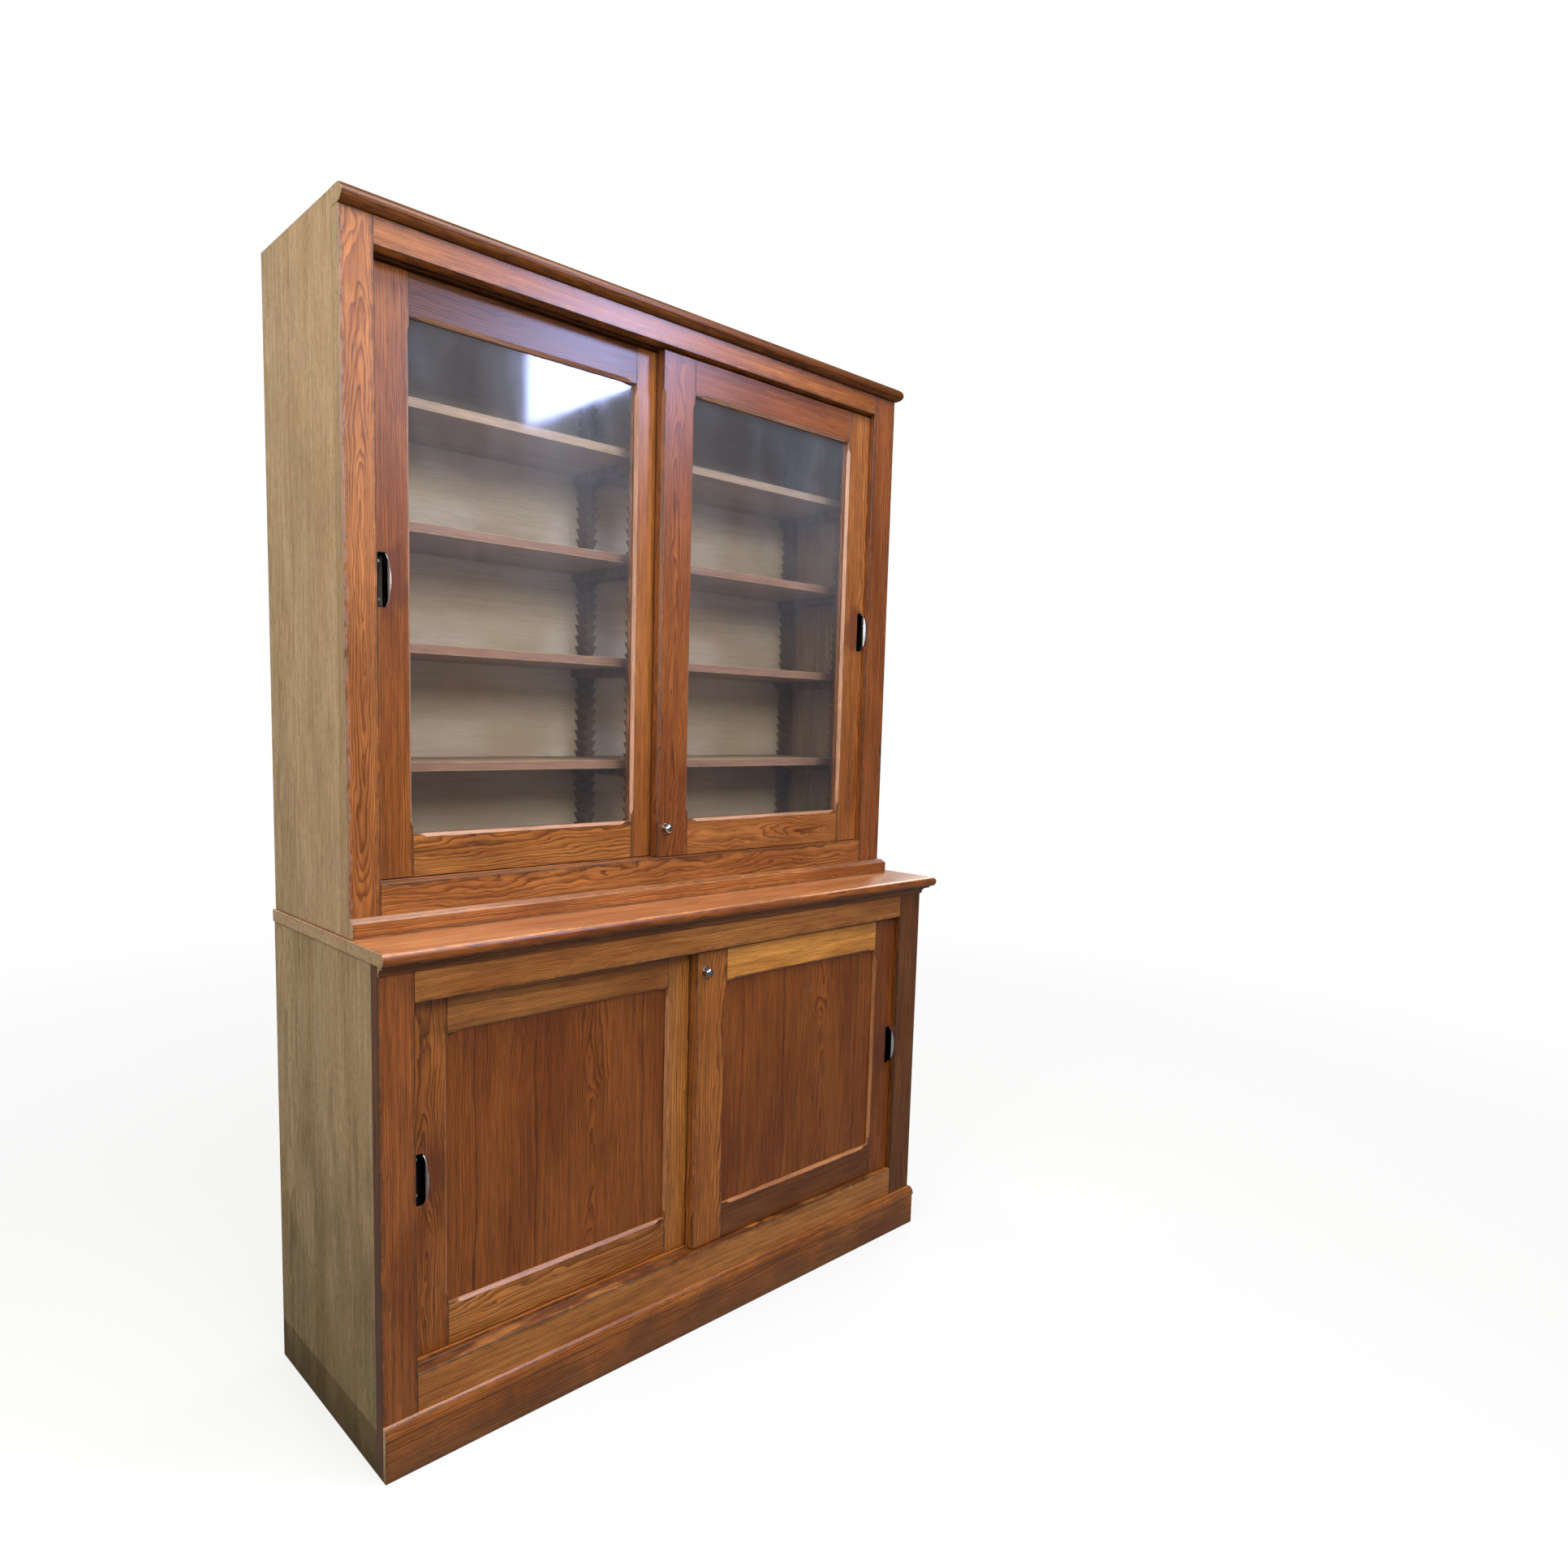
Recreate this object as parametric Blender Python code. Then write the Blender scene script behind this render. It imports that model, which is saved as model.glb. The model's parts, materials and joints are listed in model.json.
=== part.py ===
"""Laboratory cabinet of varnished pitch pine: a glazed upper cabinet set back on a deeper base cabinet.

Both cabinets close with two sliding doors. The right doors run in front of the left ones. Sizes are in
metres. Shapes are drawn in the cabinet's own corner frame (left face, base front, floor) and hang on one
empty, which puts the origin under the middle of the whole object, on the floor.
"""

import math

import bmesh
import bpy
from mathutils import Matrix, Vector

# Clearances
FIT = 0.0003
SLIDE_FIT = 0.0004

# Base cabinet
BASE_WIDTH = 1.490
BASE_DEPTH = 0.480
BASE_LEFT_STILE = 0.067
BASE_RIGHT_STILE = 0.080
BASE_SILL = 0.173
BASE_TOP_RAIL = 0.075
BASE_BOTTOM_RAIL = 0.100
BASE_SHELF_DROP = 0.425
BASE_SHELF_SETBACK = 0.105
HOUSING_DEPTH = 0.006
PLINTH_HEIGHT = 0.103
PLINTH_PROJECTION = 0.012
PLINTH_ROUND = 0.024
PLINTH_QUIRK = 0.002
COUNTER_TOP = 0.949
COUNTER_THICKNESS = 0.024
COUNTER_OVERHANG = 0.030
COUNTER_LEFT_PROUD = 0.003
COUNTER_NOSE = 0.010
COVE_HEIGHT = 0.019
COVE_PROJECTION = 0.018
COVE_FILLET = 0.004

# Upper cabinet
TOTAL_HEIGHT = 2.200
UPPER_SETBACK = 0.122
UPPER_LEFT_INSET = 0.003
UPPER_RIGHT_INSET = 0.030
UPPER_LEFT_STILE = 0.061
UPPER_RIGHT_STILE = 0.078
UPPER_SILL_RISE = 0.091
FASCIA_HEIGHT = 0.047
SKIRT_HEIGHT = 0.036
SKIRT_PROJECTION = 0.016
SKIRT_SPLAY = 0.009
CORNICE_HEIGHT = 0.031
CORNICE_PROJECTION = 0.016

# Boards shared by both cabinets
SIDE_THICKNESS = 0.022
FRAME_THICKNESS = 0.026
BACK_THICKNESS = 0.008
BACK_REBATE = 0.010
FLOOR_THICKNESS = 0.024
ROOF_THICKNESS = 0.020
TENON_LENGTH = 0.030
TENON_THICKNESS = 0.009
TENON_SHOULDER = 0.008

# Adjustable shelves and the notched ladders that carry them
SHELF_COUNT = 4
SHELF_THICKNESS = 0.018
SHELF_SETBACK = 0.113
NOTCH_PITCH = 0.025
NOTCH_DEPTH = 0.012
FIRST_BAY_LESS = 2
UPRIGHT_CORE = 0.012
UPRIGHT_DEPTH = 0.040
UPRIGHT_TOP_GAP = 0.060
BEARER_WIDTH = 0.024
BEARER_HEIGHT = 0.019
BEARER_SEAT = 0.001
BEARER_END_INSET = 0.003
SHELF_END_GAP = 0.0015

# Sliding doors
FRONT_DOOR_SETBACK = 0.015
DOOR_THICKNESS = 0.024
DOOR_GAP = 0.006
DOOR_STILE = 0.088
DOOR_TOP_RAIL = 0.075
DOOR_BOTTOM_RAIL = 0.080
DOOR_HEAD_CLEARANCE = 0.005
DOOR_SILL_CLEARANCE = 0.0015
LEFT_DOOR_TUCK = 0.004
RIGHT_DOOR_TUCK = 0.010
UPPER_OVERLAP = 0.038
BASE_OVERLAP = 0.030
TONGUE_THICKNESS = 0.009
TONGUE_RISE = 0.015
SILL_GROOVE_DEPTH = 0.010
GUIDE_GROOVE_DEPTH = 0.014
GUIDE_HEIGHT = 0.025
GUIDE_BACK_WALL = 0.006
PANE_GROOVE_DEPTH = 0.010
PANE_SETBACK = 0.009
PANE_SIDE_PLAY = 0.0005
PANE_END_PLAY = 0.0008
GLASS_THICKNESS = 0.004
PANEL_THICKNESS = 0.007
CHAMFER = 0.006
ARRIS = 0.0005
CHAMFER_END = 0.014
CHAMFER_STOP = 0.012
OUTER_CHAMFER_END = 0.075

# Pulls let into the stiles
PULL_EDGE_LEFT = 0.032
PULL_EDGE_RIGHT = 0.024
PULL_LENGTH = 0.096
PULL_WIDTH = 0.016
PULL_DEPTH = 0.014
PULL_WALL = 0.0012
PULL_CORNER = 0.003
PULL_CORNER_STEPS = 3
FIN_PROJECTION = 0.0135
FIN_THICKNESS = 0.002
FIN_FLARE = 0.005
FIN_ROOT = 0.003
FIN_STEPS = 16
ROUND_STEPS = 8

# Push locks
LOCK_INSET = 0.026
UPPER_LOCK_RISE = 0.062
BASE_LOCK_DROP = 0.045
LOCK_TRAVEL = 0.005
ROSE_RADIUS = 0.0125
ROSE_THICKNESS = 0.002
BARREL_RADIUS = 0.0095
KNOB_RADIUS = 0.0105
KNOB_LENGTH = 0.009
KNOB_ROUND = 0.003
BOLT_RADIUS = 0.005
STRIKE_DEPTH = 0.012
TURN_STEPS = 28

# Places that follow from the sizes above
BASE_TOP = COUNTER_TOP - COUNTER_THICKNESS
BASE_HEAD = BASE_TOP - BASE_TOP_RAIL
BASE_SHELF_TOP = BASE_TOP - BASE_SHELF_DROP
UPPER_LEFT = UPPER_LEFT_INSET
UPPER_RIGHT = BASE_WIDTH - UPPER_RIGHT_INSET
UPPER_SILL = COUNTER_TOP + UPPER_SILL_RISE
CORNICE_UNDER = TOTAL_HEIGHT - CORNICE_HEIGHT
UPPER_HEAD = CORNICE_UNDER - FASCIA_HEIGHT
ROOF_UNDER = TOTAL_HEIGHT - ROOF_THICKNESS
REAR_DOOR_SETBACK = FRONT_DOOR_SETBACK + DOOR_THICKNESS + DOOR_GAP
TONGUE_SETBACK = DOOR_THICKNESS - TONGUE_THICKNESS
BEHIND_FRAME = FRAME_THICKNESS + FIT
BACK_FACE = BASE_DEPTH - BACK_THICKNESS
TOTAL_WIDTH = COUNTER_LEFT_PROUD + BASE_WIDTH + COUNTER_OVERHANG
TOTAL_DEPTH = COUNTER_OVERHANG + BASE_DEPTH
CORNER = Vector((COUNTER_LEFT_PROUD - TOTAL_WIDTH / 2, COUNTER_OVERHANG - TOTAL_DEPTH / 2, 0))


def clear_scene():
    for old in list(bpy.data.objects):
        bpy.data.objects.remove(old, do_unlink=True)


def make_material(name, colour, roughness, metallic=0.0, transmission=0.0):
    """A Principled material with a plain colour."""
    material = bpy.data.materials.new(name)
    material.use_nodes = True
    shader = material.node_tree.nodes["Principled BSDF"]
    shader.inputs["Base Color"].default_value = (*colour, 1)
    shader.inputs["Roughness"].default_value = roughness
    shader.inputs["Metallic"].default_value = metallic
    shader.inputs["Transmission Weight"].default_value = transmission
    return material


def make_empty(name, place, parent=None):
    empty = bpy.data.objects.new(name, None)
    empty.location = place
    empty.parent = parent
    bpy.context.scene.collection.objects.link(empty)
    return empty


def make_object(name, shape, material, parent):
    """Turns a bmesh drawn in the corner frame into an object whose origin is its parent empty."""
    offset = Vector()
    holder = parent
    while holder.parent:
        offset += holder.location
        holder = holder.parent
    bmesh.ops.translate(shape, verts=shape.verts, vec=-offset)
    bmesh.ops.recalc_face_normals(shape, faces=shape.faces)
    mesh = bpy.data.meshes.new(name)
    shape.to_mesh(mesh)
    shape.free()
    mesh.materials.append(material)
    mesh.shade_smooth()
    mesh.set_sharp_from_angle(angle=math.radians(35))
    piece = bpy.data.objects.new(name, mesh)
    piece.parent = parent
    bpy.context.scene.collection.objects.link(piece)
    return piece


def combine(piece, shape, operation):
    """Cuts a hidden helper shape out of a piece, or joins it on, with a Boolean modifier."""
    helper = make_object(f"helper_{piece.name}_{operation.lower()}", shape, piece.data.materials[0], piece.parent)
    helper.hide_render = True
    helper.display_type = "WIRE"
    modifier = piece.modifiers.new(operation.title(), "BOOLEAN")
    modifier.operation = operation
    modifier.solver = "EXACT"
    modifier.object = helper


def add_box(shape, x, y, z):
    """Adds a closed box to a bmesh, from its ranges along the three axes."""
    size = Vector((x[1] - x[0], y[1] - y[0], z[1] - z[0]))
    centre = Vector((x[0] + x[1], y[0] + y[1], z[0] + z[1])) / 2
    bmesh.ops.create_cube(shape, size=1, matrix=Matrix.Translation(centre) @ Matrix.Diagonal((*size, 1)))


def boxes(*ranges):
    shape = bmesh.new()
    for x, y, z in ranges:
        add_box(shape, x, y, z)
    return shape


def board(name, x, y, z, material, parent):
    return make_object(name, boxes((x, y, z)), material, parent)


def loft(rings, closed=False):
    """Joins rings of points with quads, and caps the two end rings unless the loft closes on itself."""
    shape = bmesh.new()
    loops = [[shape.verts.new(point) for point in ring] for ring in rings]
    pairs = list(zip(loops, loops[1:]))
    if closed:
        pairs.append((loops[-1], loops[0]))
    else:
        shape.faces.new(loops[0])
        shape.faces.new(reversed(loops[-1]))
    for lower, upper in pairs:
        count = len(lower)
        for i in range(count):
            j = (i + 1) % count
            shape.faces.new((lower[i], upper[i], upper[j], lower[j]))
    return shape


def turned(profile, centre):
    """Turns a profile of (radius, depth) points about a line along Y through the centre."""
    shape = bmesh.new()
    points = [shape.verts.new(Vector((radius, depth, 0))) for radius, depth in profile]
    edges = [shape.edges.new(pair) for pair in zip(points, points[1:])]
    if profile[0][0] > 0:
        edges.append(shape.edges.new((points[-1], points[0])))
    bmesh.ops.spin(shape, geom=points + edges, axis=(0, 1, 0), cent=(0, 0, 0), angle=math.tau, steps=TURN_STEPS)
    bmesh.ops.remove_doubles(shape, verts=shape.verts, dist=1e-6)
    bmesh.ops.translate(shape, verts=shape.verts, vec=centre)
    return shape


def add_bore(shape, centre, radius, y):
    """Adds a closed cylinder along Y to a bmesh, as a cutter for a round hole."""
    place = Matrix.Translation((centre[0], (y[0] + y[1]) / 2, centre[2])) @ Matrix.Rotation(math.pi / 2, 4, "X")
    bmesh.ops.create_cone(
        shape, cap_ends=True, segments=TURN_STEPS, radius1=radius, radius2=radius, depth=y[1] - y[0], matrix=place
    )


def quarter_arc(radius_out, radius_up, steps):
    """Points of a quarter ellipse from (radius_out, 0) to (0, radius_up)."""
    turns = [i / steps * math.pi / 2 for i in range(steps + 1)]
    return [(radius_out * math.cos(turn), radius_up * math.sin(turn)) for turn in turns]


def returned_moulding(name, profile, left, right, front, back, material, parent):
    """A moulding along the front that turns the right corner in a mitre and runs to the back.

    The profile is a loop of (projection at the front, projection at the side, height).
    """
    rings = (
        [(left, front - ahead, z) for ahead, _, z in profile],
        [(right + beside, front - ahead, z) for ahead, beside, z in profile],
        [(right + beside, back, z) for _, beside, z in profile],
    )
    return make_object(name, loft(rings), material, parent)


def applied_profile(points):
    """A moulding profile that lies against the front and the side alike, FIT clear of both."""
    outer = [(max(out, FIT), max(out, FIT), z) for out, z in points]
    low = points[0][1]
    high = points[-1][1]
    return [(FIT, FIT, low), *outer[1:-1], (FIT, FIT, high)]


# Carcass


def build_sides(prefix, x_left, x_right, front, z, materials, parent, housings):
    """The two side boards, rebated for the back, with stopped housings for a fixed shelf if there is one."""
    y = (front + BEHIND_FRAME, BASE_DEPTH)
    inner_left = x_left + SIDE_THICKNESS
    inner_right = x_right - SIDE_THICKNESS
    spans = {
        "left": ((x_left, inner_left), (inner_left - BACK_REBATE, inner_left + BACK_REBATE), inner_left),
        "right": ((inner_right, x_right), (inner_right - BACK_REBATE, inner_right + BACK_REBATE), inner_right),
    }
    rebate_y = (BACK_FACE - FIT, BASE_DEPTH + BACK_REBATE)
    for hand, (x, rebate_x, inner) in spans.items():
        side = board(f"{prefix}_{hand}_side", x, y, z, materials[hand], parent)
        for housing_y, housing_z in housings:
            housing_x = (inner - HOUSING_DEPTH, inner + HOUSING_DEPTH)
            combine(side, boxes((housing_x, housing_y, housing_z)), "DIFFERENCE")
        rebate_z = (z[0] - BACK_REBATE, z[1] + BACK_REBATE)
        combine(side, boxes((rebate_x, rebate_y, rebate_z)), "DIFFERENCE")


def build_back(prefix, x_left, x_right, z, material, parent):
    reach = SIDE_THICKNESS - BACK_REBATE + FIT
    x = (x_left + reach, x_right - reach)
    board(f"{prefix}_back", x, (BACK_FACE, BASE_DEPTH), z, material, parent)


def grooved_board(name, x, y, z, grooves, groove_z, material, parent):
    """A board with stopped grooves for the tongues of the front and the rear door."""
    piece = board(name, x, y, z, material, parent)
    combine(piece, boxes(*[(span, depth, groove_z) for span, depth in grooves]), "DIFFERENCE")


def tongue_grooves(front, x_open):
    """Ranges along X and Y of the two grooves that the door tongues run in."""
    ends = (x_open[0] - LEFT_DOOR_TUCK - SLIDE_FIT, x_open[1] + RIGHT_DOOR_TUCK + SLIDE_FIT)
    grooves = []
    for setback in (FRONT_DOOR_SETBACK, REAR_DOOR_SETBACK):
        near = front + setback + TONGUE_SETBACK
        grooves.append((ends, (near - SLIDE_FIT, near + TONGUE_THICKNESS + SLIDE_FIT)))
    return grooves


def build_runners(prefix, front, x_inside, x_open, sill, head, material, parent):
    """The floor board, grooved along its front as the lower track, and the grooved guide above the doors."""
    grooves = tongue_grooves(front, x_open)
    x = (x_inside[0] + FIT, x_inside[1] - FIT)
    floor_y = (front + BEHIND_FRAME, BACK_FACE - FIT)
    floor_z = (sill - FLOOR_THICKNESS, sill)
    over = (sill - SILL_GROOVE_DEPTH, sill + SILL_GROOVE_DEPTH)
    grooved_board(f"{prefix}_floor", x, floor_y, floor_z, grooves, over, material, parent)
    guide_y = (front + BEHIND_FRAME, grooves[1][1][1] + GUIDE_BACK_WALL)
    guide_z = (head, head + GUIDE_HEIGHT)
    under = (head - GUIDE_GROOVE_DEPTH, head + GUIDE_GROOVE_DEPTH)
    grooved_board(f"{prefix}_top_guide", x, guide_y, guide_z, grooves, under, material, parent)


def build_face_frame(prefix, front, x, x_open, stile_z, top_rail_z, bottom_rail_z, material, parent):
    """Two full-height stiles with the rails tenoned between them. The right stile is rebated for its door."""
    frame_y = (front, front + FRAME_THICKNESS)
    middle = front + FRAME_THICKNESS / 2
    tenon_y = (middle - TENON_THICKNESS / 2, middle + TENON_THICKNESS / 2)
    mortise_y = (tenon_y[0] - FIT, tenon_y[1] + FIT)
    rails = {"top": top_rail_z, "bottom": bottom_rail_z}
    tenons = {name: (low + TENON_SHOULDER, high - TENON_SHOULDER) for name, (low, high) in rails.items()}
    left_cuts = []
    right_cuts = []
    for low, high in tenons.values():
        mortise_z = (low - FIT, high + FIT)
        reach = TENON_LENGTH + FIT
        left_cuts.append(((x_open[0] - reach, x_open[0] + reach), mortise_y, mortise_z))
        right_cuts.append(((x_open[1] - reach, x_open[1] + reach), mortise_y, mortise_z))
    left = board(f"{prefix}_left_stile", (x[0], x_open[0]), frame_y, stile_z, material, parent)
    combine(left, boxes(*left_cuts), "DIFFERENCE")
    right = board(f"{prefix}_right_stile", (x_open[1], x[1]), frame_y, stile_z, material, parent)
    combine(right, boxes(*right_cuts), "DIFFERENCE")
    rebate = RIGHT_DOOR_TUCK + 2 * SLIDE_FIT
    rebate_y = (front + FRONT_DOOR_SETBACK - SLIDE_FIT, front + 2 * FRAME_THICKNESS)
    rebate_z = (bottom_rail_z[1], top_rail_z[0])
    rebate_cut = boxes(((x_open[1] - rebate, x_open[1] + rebate), rebate_y, rebate_z))
    combine(right, rebate_cut, "DIFFERENCE")
    for name, rail_z in rails.items():
        rail_x = (x_open[0] + FIT, x_open[1] - FIT)
        rail = board(f"{prefix}_{name}_rail", rail_x, frame_y, rail_z, material, parent)
        ends = (
            (rail_x[0] + FIT - TENON_LENGTH, rail_x[0] + TENON_SHOULDER),
            (rail_x[1] - TENON_SHOULDER, rail_x[1] - FIT + TENON_LENGTH),
        )
        combine(rail, boxes(*[(end, tenon_y, tenons[name]) for end in ends]), "UNION")


def build_counter(material, parent):
    """The counter top: square at the left end and the back, half-round at the front and the right."""
    left = -COUNTER_LEFT_PROUD
    middle = COUNTER_TOP - COUNTER_THICKNESS / 2
    rings = []
    for i in range(ROUND_STEPS + 1):
        turn = (i / ROUND_STEPS - 0.5) * math.pi
        out = COUNTER_OVERHANG - COUNTER_NOSE * (1 - math.cos(turn))
        z = middle + COUNTER_THICKNESS / 2 * math.sin(turn)
        right = BASE_WIDTH + out
        rings.append([(left, -out, z), (right, -out, z), (right, BASE_DEPTH, z), (left, BASE_DEPTH, z)])
    make_object("counter_top", loft(rings), material, parent)


def build_mouldings(material, parent):
    """The cove under the counter, the plinth with its rounded top, the skirt and the cornice."""
    cove_low = BASE_TOP - COVE_HEIGHT
    hollow_out = COVE_PROJECTION - COVE_FILLET
    hollow_up = COVE_HEIGHT - 2 * COVE_FILLET
    hollow = [
        (COVE_PROJECTION - out, cove_low + COVE_FILLET + up)
        for out, up in quarter_arc(hollow_out, hollow_up, ROUND_STEPS)
    ]
    cove = [(0, cove_low), (COVE_FILLET, cove_low), *hollow, (COVE_PROJECTION, BASE_TOP - FIT), (0, BASE_TOP - FIT)]
    returned_moulding(
        "counter_cove", applied_profile(cove), 0, BASE_WIDTH, 0, BASE_DEPTH, material, parent
    )
    plinth_round = [
        (out, PLINTH_HEIGHT - PLINTH_ROUND + up)
        for out, up in quarter_arc(PLINTH_PROJECTION, PLINTH_ROUND, ROUND_STEPS)
    ]
    board_out = PLINTH_PROJECTION - PLINTH_QUIRK
    plinth = [(0, 0), (board_out, 0), (board_out, PLINTH_HEIGHT - PLINTH_ROUND - PLINTH_QUIRK), *plinth_round]
    returned_moulding("plinth", applied_profile(plinth), 0, BASE_WIDTH, 0, BASE_DEPTH, material, parent)
    skirt_low = COUNTER_TOP + FIT
    skirt_high = COUNTER_TOP + SKIRT_HEIGHT
    skirt = [
        (0, skirt_low),
        (SKIRT_PROJECTION, skirt_low),
        (SKIRT_PROJECTION, skirt_high - SKIRT_SPLAY),
        (SKIRT_PROJECTION - SKIRT_SPLAY, skirt_high),
        (0, skirt_high),
    ]
    front = UPPER_SETBACK
    returned_moulding(
        "upper_skirt", applied_profile(skirt), UPPER_LEFT, UPPER_RIGHT, front, BASE_DEPTH, material, parent
    )
    nose = []
    for i in range(ROUND_STEPS + 1):
        turn = (i / ROUND_STEPS - 0.5) * math.pi
        out = CORNICE_PROJECTION * math.cos(turn)
        nose.append((out, CORNICE_UNDER + CORNICE_HEIGHT * (1 + math.sin(turn)) / 2))
    low = CORNICE_UNDER + FIT
    cornice = [
        (-FRAME_THICKNESS, FIT, low),
        *[(out, max(out, 2 * FIT), max(z, low)) for out, z in nose],
        (-FRAME_THICKNESS, FIT, TOTAL_HEIGHT),
    ]
    returned_moulding("cornice", cornice, UPPER_LEFT, UPPER_RIGHT, front, BASE_DEPTH, material, parent)


# Shelves


def notched_outline(z_low, z_high, facing):
    """Outline across X and Z of an upright whose teeth face one side, or both sides if facing is 0."""
    count = int((z_high - z_low) / NOTCH_PITCH)
    tooth = []
    for i in range(count):
        seat = z_low + (i + 1) * NOTCH_PITCH
        tooth += [(NOTCH_DEPTH, seat), (0, seat)]
    toothed = [(UPRIGHT_CORE / 2 + out, z) for out, z in [(0, z_low), *tooth, (0, z_high)]]
    if facing:
        plain = [(-UPRIGHT_CORE / 2, z_high), (-UPRIGHT_CORE / 2, z_low)]
        return [(facing * x, z) for x, z in toothed + plain]
    return toothed + [(-x, z) for x, z in reversed(toothed)]


def build_ladder(name, core_x, facing, front, z, shelf_bottoms, material, parent):
    """A front and a rear notched upright with a bearer at each shelf, on one side or on both."""
    rear = BACK_FACE - FIT
    shape = bmesh.new()
    outline = notched_outline(z[0], z[1], facing)
    for y in ((front, front + UPRIGHT_DEPTH), (rear - UPRIGHT_DEPTH, rear)):
        upright = loft([[(core_x + x, depth, height) for x, height in outline] for depth in y])
        copied = bpy.data.meshes.new(name)
        upright.to_mesh(copied)
        upright.free()
        shape.from_mesh(copied)
        bpy.data.meshes.remove(copied)
    ladder = make_object(name, shape, material, parent)
    bearer_y = (front + BEARER_END_INSET, rear - BEARER_END_INSET)
    bearers = []
    for top in shelf_bottoms:
        bearer_z = (top - FIT - BEARER_HEIGHT, top - FIT)
        for side in (facing,) if facing else (-1, 1):
            reach = sorted(core_x + side * (UPRIGHT_CORE / 2 + out) for out in (-BEARER_SEAT, BEARER_WIDTH))
            bearers.append((reach, bearer_y, bearer_z))
    combine(ladder, boxes(*bearers), "UNION")


def build_shelving(x_inside, front, material, parent):
    """Three notched ladders and the loose shelves that lie on their bearers."""
    floor_z = (UPPER_SILL + FIT, ROOF_UNDER - UPRIGHT_TOP_GAP)
    bay = (ROOF_UNDER - UPPER_SILL) / (SHELF_COUNT + 1)
    notches = int(bay / NOTCH_PITCH)
    seats = [(i + 1) * notches - FIRST_BAY_LESS for i in range(SHELF_COUNT)]
    bottoms = [floor_z[0] + seat * NOTCH_PITCH - BEARER_SEAT + BEARER_HEIGHT + FIT for seat in seats]
    middle = (x_inside[0] + x_inside[1]) / 2
    half_core = UPRIGHT_CORE / 2
    shelf_front = front + SHELF_SETBACK
    build_ladder(
        "shelf_ladder_left", x_inside[0] + FIT + half_core, 1, shelf_front, floor_z, bottoms, material, parent
    )
    build_ladder("shelf_ladder_middle", middle, 0, shelf_front, floor_z, bottoms, material, parent)
    build_ladder(
        "shelf_ladder_right", x_inside[1] - FIT - half_core, -1, shelf_front, floor_z, bottoms, material, parent
    )
    end = UPRIGHT_CORE + NOTCH_DEPTH + SHELF_END_GAP
    shelf_x = (x_inside[0] + end, x_inside[1] - end)
    shelf_y = (shelf_front, BACK_FACE - FIT)
    slot = half_core + NOTCH_DEPTH + SHELF_END_GAP
    slot_depth = UPRIGHT_DEPTH + SHELF_END_GAP
    for number, bottom in enumerate(bottoms, 1):
        shelf_z = (bottom, bottom + SHELF_THICKNESS)
        shelf = board(f"shelf_{number}", shelf_x, shelf_y, shelf_z, material, parent)
        cut_z = (shelf_z[0] - SHELF_THICKNESS, shelf_z[1] + SHELF_THICKNESS)
        slot_x = (middle - slot, middle + slot)
        front_slot = (shelf_y[0] - slot_depth, shelf_y[0] + slot_depth)
        rear_slot = (shelf_y[1] - slot_depth, shelf_y[1] + slot_depth)
        combine(shelf, boxes((slot_x, front_slot, cut_z), (slot_x, rear_slot, cut_z)), "DIFFERENCE")


# Doors


def member_section(width, groove, inner, outer, tongue=0.0):
    """Section across a door member: (distance from its outer edge, depth from its front).

    The inner edge has the groove for the pane. Both front corners are chamfered by the given amounts.
    """
    near, far = groove
    floor = width - PANE_GROOVE_DEPTH
    points = [
        (outer, 0),
        (width - inner, 0),
        (width, inner),
        (width, near),
        (floor, near),
        (floor, far),
        (width, far),
        (width, DOOR_THICKNESS),
    ]
    if tongue:
        points += [(-tongue, DOOR_THICKNESS), (-tongue, TONGUE_SETBACK), (0, TONGUE_SETBACK)]
    else:
        points.append((0, DOOR_THICKNESS))
    return [*points, (0, outer)]


def chamfer_at(place, span):
    """Size of a stopped chamfer at a place along a member: a bare arris outside its span, sloping stops within."""
    if span is None:
        return ARRIS
    start, end = span
    share = min(place - start, end - place) / CHAMFER_STOP
    return ARRIS + (CHAMFER - ARRIS) * min(max(share, 0), 1)


def chamfer_places(low, high, spans):
    """Places along a member where a chamfer starts, stops or is full, with the two ends."""
    places = {low, high}
    for span in spans:
        if span is not None:
            start, end = span
            places |= {start, start + CHAMFER_STOP, end - CHAMFER_STOP, end}
    return sorted(places)


def door_stile(name, x_outer, direction, y, z, inner_span, outer_span, groove, material, parent):
    """A full-height door stile, with its tongues left standing at both ends."""
    z_low, z_high, shoulder_low, shoulder_high = z
    rings = []
    for place in chamfer_places(z_low, z_high, (inner_span, outer_span)):
        inner = chamfer_at(place, inner_span)
        outer = chamfer_at(place, outer_span)
        section = member_section(DOOR_STILE, groove, inner, outer)
        rings.append([(x_outer + direction * across, y + depth, place) for across, depth in section])
    stile = make_object(name, loft(rings), material, parent)
    x = sorted((x_outer - direction * DOOR_STILE, x_outer + 2 * direction * DOOR_STILE))
    cut_y = (y - TONGUE_SETBACK, y + TONGUE_SETBACK)
    low_cut = (x, cut_y, (z_low - TONGUE_RISE, shoulder_low))
    high_cut = (x, cut_y, (shoulder_high, z_high + TONGUE_RISE))
    combine(stile, boxes(low_cut, high_cut), "DIFFERENCE")
    return stile


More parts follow.
